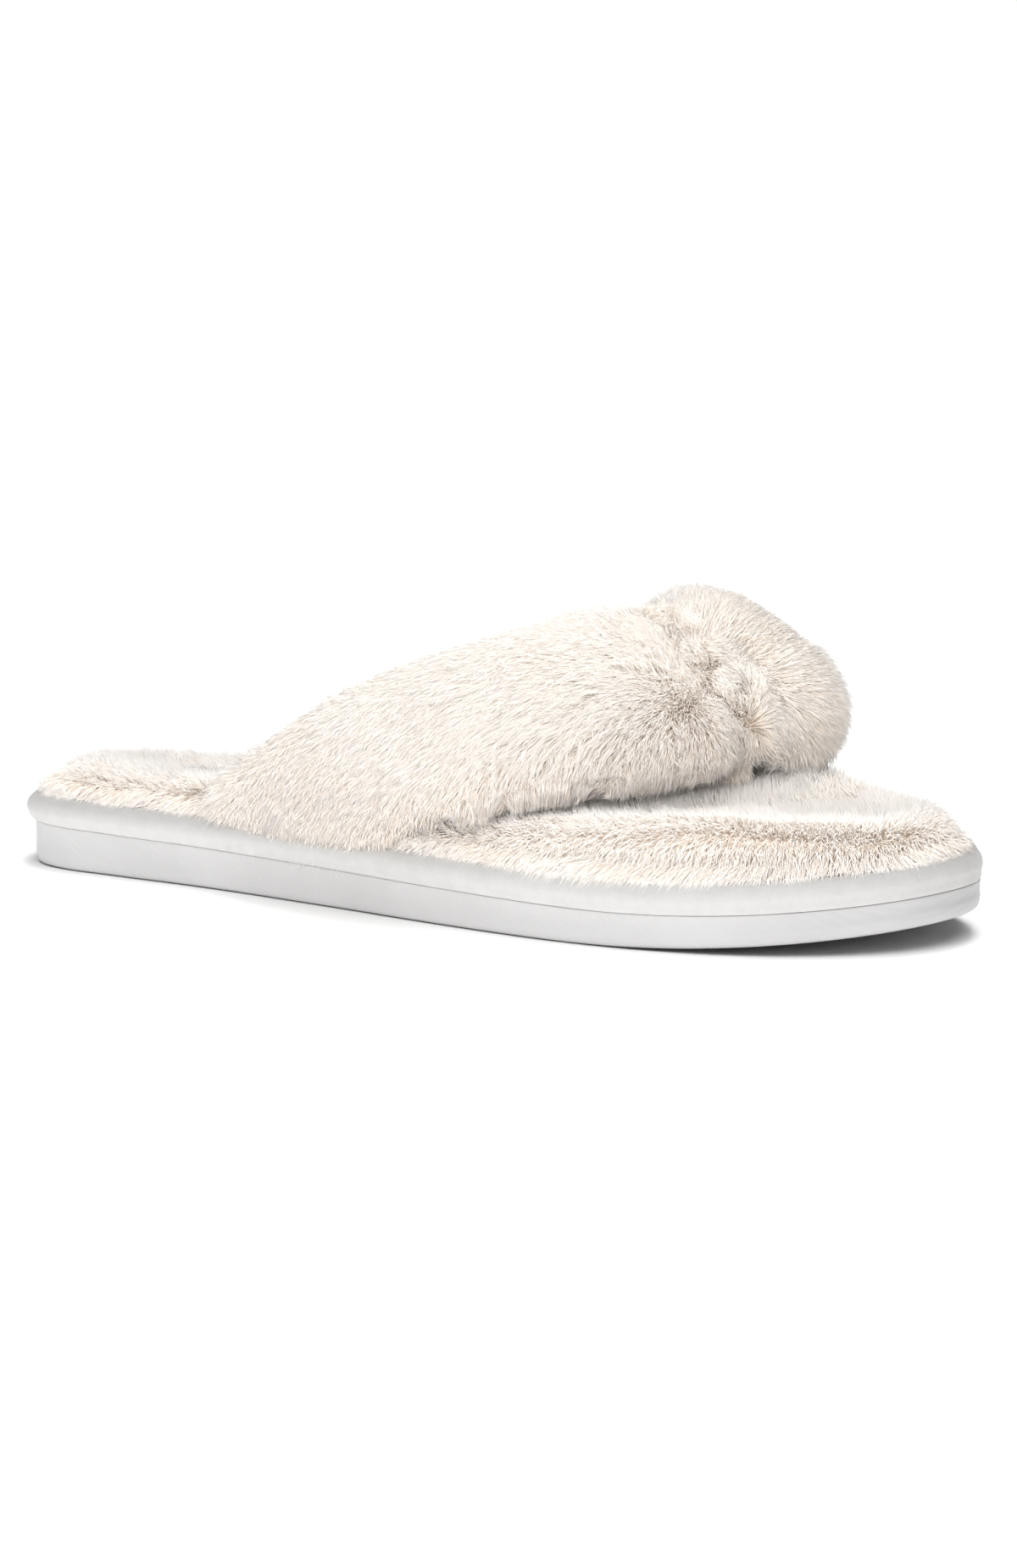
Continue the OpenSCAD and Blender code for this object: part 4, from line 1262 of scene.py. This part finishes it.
def build_loop_wrap():
    """The gathered middle: pile cloth bunched round the webbing loop, so the two strap ends run into one another.
    It is full over the top and the rear, and drawn in on the toe side, where the crease between the straps opens."""
    rear, front = np.array([165, 14, 63.0]), np.array([188.5, 14, 41.5])
    c, w = (rear + front) / 2, unit(front - rear)
    nn = np.array([-w[2], 0.0, w[0]])
    S, R = 96, 25
    deg = np.linspace(0, 360, S, endpoint=False)
    # how far each part of the ring is drawn in at the middle: 0 toe-side edge, 90 pile face, 180 rear edge
    draw = np.interp(deg, [0, 30, 60, 80, 100, 130, 180, 210, 240, 270, 300, 330, 360],
                     [0.15, 0.12, 0.07, 0.02, 0.0, 0.03, 0.10, 0.2, 0.3, 0.34, 0.34, 0.26, 0.15])
    rows = []
    for k in range(R):
        s = k / (R - 1)
        end = max(0.0, abs(s - 0.5) * 2 - 0.7) / 0.3
        u = SKIN_IN + 1.8 * end
        a_, b_ = ARM_O.pt(np.full(S, 5.6), deg, np.full(S, u)), ARM_I.pt(np.full(S, 4.55), deg, np.full(S, u))
        q = lerp(a_, b_, s)
        m = q.mean(0)
        bell = math.sin(math.pi * s) ** 1.3
        rows.append(m + (q - m) * (1 - draw * bell)[:, None])
    verts = np.array(rows).reshape(-1, 3)
    n0 = len(verts)
    verts = np.vstack([verts, rows[0].mean(0), rows[-1].mean(0)])
    verts[:n0] += noise3(verts[:n0], 5.0, 81) * 0.35
    faces = ring_faces(S, R)
    faces += [(n0, (i + 1) % S, i) for i in range(S)] + [(n0 + 1, (R - 1) * S + i, (R - 1) * S + (i + 1) % S) for i in range(S)]
    ob = outward(new_mesh("gather_wrap", verts, faces, mats=[MAT["backing"]]))
    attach(ob, "root")
    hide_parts("thong_webbing")
    rng = np.random.default_rng(83)
    co, tr, vn = mesh_arrays(ob)
    cen = co[tr].mean(1)
    nav = vn[tr].mean(1)
    # only where the cloth shows: not inside the two straps
    skin_d = np.minimum(inside(skin_o, cen), inside(skin_i, cen))
    under = ((cen - c) @ nn < -8.5)
    w8 = (skin_d > -0.8) * ~under
    P, bw, t = sample_faces(co, tr, 9.0, rng, w8.astype(float))
    N = unit((vn[tr[t]] * bw[:, :, None]).sum(1))
    n = len(P)
    face = (P - c) @ nn
    top = smooth(2.0, 9.0, face)
    D = np.broadcast_to([0.0, 0.0, -0.8], P.shape) * (1 - top)[:, None] + np.broadcast_to([-0.05, -0.2, -0.1], P.shape) * top[:, None]
    D = D + np.column_stack([np.zeros(n), np.sign(P[:, 1] - 14) * 0.3, np.zeros(n)]) + noise3(P, 4.5, 85) * 0.9
    D = unit(D - N * (D * N).sum(1, keepdims=True))
    # painted shade: the toe side and underside of the gather, in the crease, take the darker warm slots more often
    crease = np.clip(1 - top, 0, 1)
    length = 6.3 + 1.2 * top + rng.normal(0, 0.5, n) + 2.4 * (1 - smooth(36, 43, P[:, 2]))
    fur("gather_pile", P, N, D, length, 0.09 * (1 + rng.normal(0, 0.1, n)), "thong_webbing", "strap_pile", rng,
        order=P[:, 2], K=3, warm_tone_and_shade=0.2 + 0.5 * crease, lift=(0.82, 0.3), lock=0.18, lock_size=2.2, seed=87, jitter=0.2)
    return ob


def inside(ob, P):
    """How far points lie outside a closed mesh, in mm, less than 0 inside."""
    co, tr, _ = mesh_arrays(ob)
    tree = BVHTree.FromPolygons(co.tolist(), tr.tolist())
    out = np.empty(len(P))
    for i, p in enumerate(P.tolist()):
        loc, nor, _, dist = tree.find_nearest(p)
        out[i] = dist if (Vector(p) - loc).dot(nor) >= 0 else -dist
    return out


def build_label():
    """A blank woven label with a folded rim, sewn down along its edge."""
    lo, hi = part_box("heel_label")
    lo, hi = np.array(lo) * 1000 + SHIFT, np.array(hi) * 1000 + SHIFT
    cx, cy = (lo[0] + hi[0]) / 2, (lo[1] + hi[1]) / 2
    hx, hy = (hi[0] - lo[0]) / 2, (hi[1] - lo[1]) / 2
    # it lies in the pile, a little below the tips
    ztop = lambda x: hi[2] - 1.9 - (x - lo[0]) * (4.4 / 255)
    nx, ny = 48, 30
    verts, faces = [], []
    for k, dz in ((0, 0.0), (1, -0.5)):
        for i in range(nx + 1):
            for j in range(ny + 1):
                sx, sy = i / nx * 2 - 1, j / ny * 2 - 1
                # rounded corners
                x, y = sx * hx, sy * hy
                r = 1.5
                ax, ay = max(0, abs(x) - (hx - r)), max(0, abs(y) - (hy - r))
                q = math.hypot(ax, ay)
                if q > r:
                    x = math.copysign(hx - r + ax * r / q, x)
                    y = math.copysign(hy - r + ay * r / q, y)
                e = min(hx - abs(x), hy - abs(y))
                rim = 0.22 * math.exp(-((e - 0.7) / 0.55) ** 2) - 0.3 * math.exp(-((e - 0.0) / 0.35) ** 2)
                z = ztop(cx + x) + rim + 0.12 * math.sin(x * 0.35) * math.cos(y * 0.5) + dz
                verts.append((cx + x, cy + y, z))
    W = ny + 1
    o = (nx + 1) * W
    for i in range(nx):
        for j in range(ny):
            a, b, c, d = i * W + j, (i + 1) * W + j, (i + 1) * W + j + 1, i * W + j + 1
            faces.append((a, b, c, d))
            faces.append((o + a, o + d, o + c, o + b))
    for i in range(nx):
        a, b = i * W, (i + 1) * W
        faces.append((a, o + a, o + b, b))
        a, b = i * W + ny, (i + 1) * W + ny
        faces.append((a, b, o + b, o + a))
    for j in range(ny):
        a, b = j, j + 1
        faces.append((a, b, o + b, o + a))
        a, b = nx * W + j, nx * W + j + 1
        faces.append((a, o + a, o + b, b))
    ob = outward(new_mesh("heel_patch", np.array(verts), faces, mats=[MAT["label"]]))
    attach(ob, "root")
    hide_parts("heel_label")
    # edge stitches
    verts, faces = [], []
    path = []
    for k in range(400):
        a = 2 * math.pi * k / 400
        ex, ey = hx - 1.1, hy - 1.1
        path.append((cx + ex * np.sign(math.cos(a)) * abs(math.cos(a)) ** 0.35, cy + ey * np.sign(math.sin(a)) * abs(math.sin(a)) ** 0.35))
    path = np.array(path + path[:1])
    s = np.concatenate([[0], np.cumsum(np.linalg.norm(np.diff(path, axis=0), axis=1))])
    count = int(s[-1] / 1.9)
    for k in range(count):
        d = np.linspace((k + 0.14) * s[-1] / count, (k + 0.86) * s[-1] / count, 6)
        c = np.stack([np.interp(d, s, path[:, i]) for i in range(2)], -1)
        tg = unit(c[-1] - c[0])
        sd = np.array([-tg[1], tg[0], 0])
        hump = np.sin(np.linspace(0, np.pi, 6))
        o = len(verts)
        for i in range(6):
            z = ztop(c[i, 0]) + 0.18 + 0.14 * hump[i]
            for j in range(6):
                ang = 2 * math.pi * j / 6
                r = 0.07 + 0.11 * hump[i]
                verts.append(np.array([c[i, 0], c[i, 1], z]) + r * (math.cos(ang) * sd + math.sin(ang) * np.array([0, 0, 1])))
        for i in range(5):
            for j in range(6):
                faces.append((o + i * 6 + j, o + i * 6 + (j + 1) % 6, o + (i + 1) * 6 + (j + 1) % 6, o + (i + 1) * 6 + j))
        faces.append(tuple(o + j for j in reversed(range(6))))
        faces.append(tuple(o + 30 + j for j in range(6)))
    st = outward(new_mesh("heel_patch_stitches", np.array(verts), faces, mats=[MAT["label_edge"]]))
    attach(st, "root")
    return ob


# ---------------------------------------------------------------------------
# Build
# ---------------------------------------------------------------------------
build_outsole()
build_rand()
build_welt_stitches()
footbed = build_footbed()
skin_o = build_strap_skin("strap_skin_outer", ARM_O, "strap_pile_cover_outer", 201)
skin_i = build_strap_skin("strap_skin_inner", ARM_I, "strap_pile_cover_inner", 301)
build_lining("lining_outer", ARM_O, "strap_lining_outer", 401)
build_lining("lining_inner", ARM_I, "strap_lining_inner", 411)
build_toe_post()
build_loop_wrap()
build_label()
footbed_fur(footbed)
footbed_fringe()
strap_fur("strap_pile_outer", skin_o, ARM_O, "strap_pile_cover_outer", 211)
strap_fur("strap_pile_inner", skin_i, ARM_I, "strap_pile_cover_inner", 311)

# finishes of the CAD pieces that stay
for node, key in {"midsole": "foam", "rand_padding": "foam", "insole_board": "board", "footbed_foam": "foam", "strap_padding_outer": "foam",
                  "strap_padding_inner": "foam", "strap_tab_outer": "webbing", "strap_tab_inner": "webbing", "thong_anchor": "nylon"}.items():
    ob = NODES[node]
    if not ob.material_slots:
        ob.data.materials.append(MAT[key])
    for s in ob.material_slots:
        s.link = "OBJECT"
        s.material = MAT[key]

# ---------------------------------------------------------------------------
# Stage: floor, white surround, lights, camera
# ---------------------------------------------------------------------------
floor_mesh = bpy.data.meshes.new("floor")
bm = bmesh.new()
bmesh.ops.create_circle(bm, cap_ends=True, radius=6.0, segments=96)
bm.to_mesh(floor_mesh)
bm.free()
floor = bpy.data.objects.new("floor", floor_mesh)
SCENE.collection.objects.link(floor)
fm, fnt, fb = material("floor_paper", (0.65, 0.65, 0.65), 0.9)
fnt.links.new(ramp(fnt, noise_tex(fnt, coords(fnt), 6, 2), [(0.3, (0.645, 0.645, 0.645)), (0.7, (0.655, 0.655, 0.655))]), fb.inputs["Base Color"])
fb.inputs["Specular IOR Level"].default_value = 0.0
floor_mesh.materials.append(fm)

world = bpy.data.worlds.new("studio")
SCENE.world = world
world.use_nodes = True
wb = world.node_tree.nodes["Background"]
wb.inputs["Color"].default_value = (1.0, 1.0, 1.0, 1)
wb.inputs["Strength"].default_value = 0.20

dome_mesh = bpy.data.meshes.new("surround")
bm = bmesh.new()
bmesh.ops.create_uvsphere(bm, u_segments=48, v_segments=24, radius=5.8)
bmesh.ops.reverse_faces(bm, faces=bm.faces)
bm.to_mesh(dome_mesh)
bm.free()
dome = bpy.data.objects.new("surround", dome_mesh)
SCENE.collection.objects.link(dome)
dm = bpy.data.materials.new("surround_white")
dm.use_nodes = True
dnt = dm.node_tree
dnt.nodes.clear()
em = dnt.nodes.new("ShaderNodeEmission")
em.inputs["Color"].default_value = (1, 1, 1, 1)
em.inputs["Strength"].default_value = 1.15
mo = dnt.nodes.new("ShaderNodeOutputMaterial")
dnt.links.new(em.outputs[0], mo.inputs["Surface"])
dome_mesh.materials.append(dm)
dome.visible_diffuse = dome.visible_glossy = dome.visible_transmission = dome.visible_shadow = dome.visible_volume_scatter = False


def area(name, loc, target, size, power, color=(1, 1, 1), size_y=None):
    d = bpy.data.lights.new(name, "AREA")
    d.shape = "RECTANGLE"
    d.size, d.size_y = size, size_y or size
    d.energy = power
    d.color = color
    o = bpy.data.objects.new(name, d)
    SCENE.collection.objects.link(o)
    o.location = loc
    o.rotation_mode = "QUATERNION"
    o.rotation_quaternion = (Vector(loc) - Vector(target)).to_track_quat("Z", "Y")
    o.visible_camera = False
    return o


lights = [
    area("key", (-0.45, -0.95, 1.0), (0.0, 0.0, 0.03), 1.0, 3.0),
    area("top", (0.15, 0.1, 1.5), (0.0, 0.0, 0.0), 1.3, 7.0),
    area("fill", (0.35, -1.3, 0.38), (0.02, 0.0, 0.02), 1.2, 9.2, size_y=0.6),
    area("back", (-0.3, 1.3, 0.55), (0.0, 0.0, 0.03), 1.2, 9.0),
]
# the slipper's lights leave the floor alone: it is lit evenly by a soft sun from behind, which gives the contact shadow
subject = bpy.data.collections.new("subject_only")
for ob in list(SCENE.objects):
    if ob.type == "MESH" and ob not in (floor, dome):
        subject.objects.link(ob)
for o in lights:
    o.light_linking.receiver_collection = subject
# deep pile swallows light that flat cloth gives back: a second soft pair of lights is set on the pile alone
pile_col = bpy.data.collections.new("pile_only")
for ob in list(SCENE.objects):
    if ob.type == "MESH" and ("_pile_" in ob.name or ob.name.startswith(("strap_skin", "footbed_skin", "gather_wrap", "toe_post_sleeve"))):
        pile_col.objects.link(ob)
for o in (area("pile_top", (0.35, -0.1, 1.5), (0.0, 0.0, 0.0), 1.3, 7.2, (1.0, 0.985, 0.955)),
          area("pile_front", (0.5, -1.15, 0.36), (0.03, 0.0, 0.03), 1.2, 15.4, (1.0, 0.982, 0.96))):
    o.light_linking.receiver_collection = pile_col
col = bpy.data.collections.new("floor_only")
col.objects.link(floor)
for name, energy, spread, way in (("floor_sun", 2.3, 24, (-0.06, 0.3, 1.0)), ("floor_sky", 3.9, 60, (0.2, -0.35, 1.0))):
    sun_data = bpy.data.lights.new(name, "SUN")
    sun_data.energy = energy
    sun_data.angle = math.radians(spread)
    sun = bpy.data.objects.new(name, sun_data)
    SCENE.collection.objects.link(sun)
    sun.rotation_mode = "QUATERNION"
    sun.rotation_quaternion = Vector(way).to_track_quat("Z", "Y")
    sun.light_linking.receiver_collection = col

# pale fibres pass much light on to one another
SCENE.cycles.diffuse_bounces = 10
SCENE.cycles.max_bounces = 14

# camera at the photograph's angle: 30.5 degrees round, 9 degrees up, about 0.9 m away
AZ, EL, DIST = math.radians(30.5), math.radians(9.0), 0.9
back_v = Vector((math.sin(AZ) * math.cos(EL), -math.cos(AZ) * math.cos(EL), math.sin(EL)))
aim = Vector(((o_lo.x + o_hi.x) / 2, (place([0, 0, 0]))[1], 0.020))
cam_data = bpy.data.cameras.new("camera")
cam = bpy.data.objects.new("camera", cam_data)
SCENE.collection.objects.link(cam)
cam_data.sensor_fit = "AUTO"
cam_data.sensor_width = 36.0
cam_data.lens = 36.0 * 4379.0 / 1850.0
cam_data.shift_x = 30.5 / 1850.0
cam_data.shift_y = 31.8 / 1850.0
cam_data.clip_start, cam_data.clip_end = 0.01, 30
cam.location = aim + back_v * DIST
right_v = Vector((math.cos(AZ), math.sin(AZ), 0))
up_v = back_v.cross(right_v)
cam.rotation_mode = "QUATERNION"
cam.rotation_quaternion = Matrix((right_v, up_v, back_v)).transposed().to_quaternion()
SCENE.camera = cam

SCENE.view_settings.view_transform = "Standard"
SCENE.view_settings.look = "None"
SCENE.view_settings.exposure = 0.0
SCENE.view_settings.gamma = 1.0

bpy.context.view_layer.update()
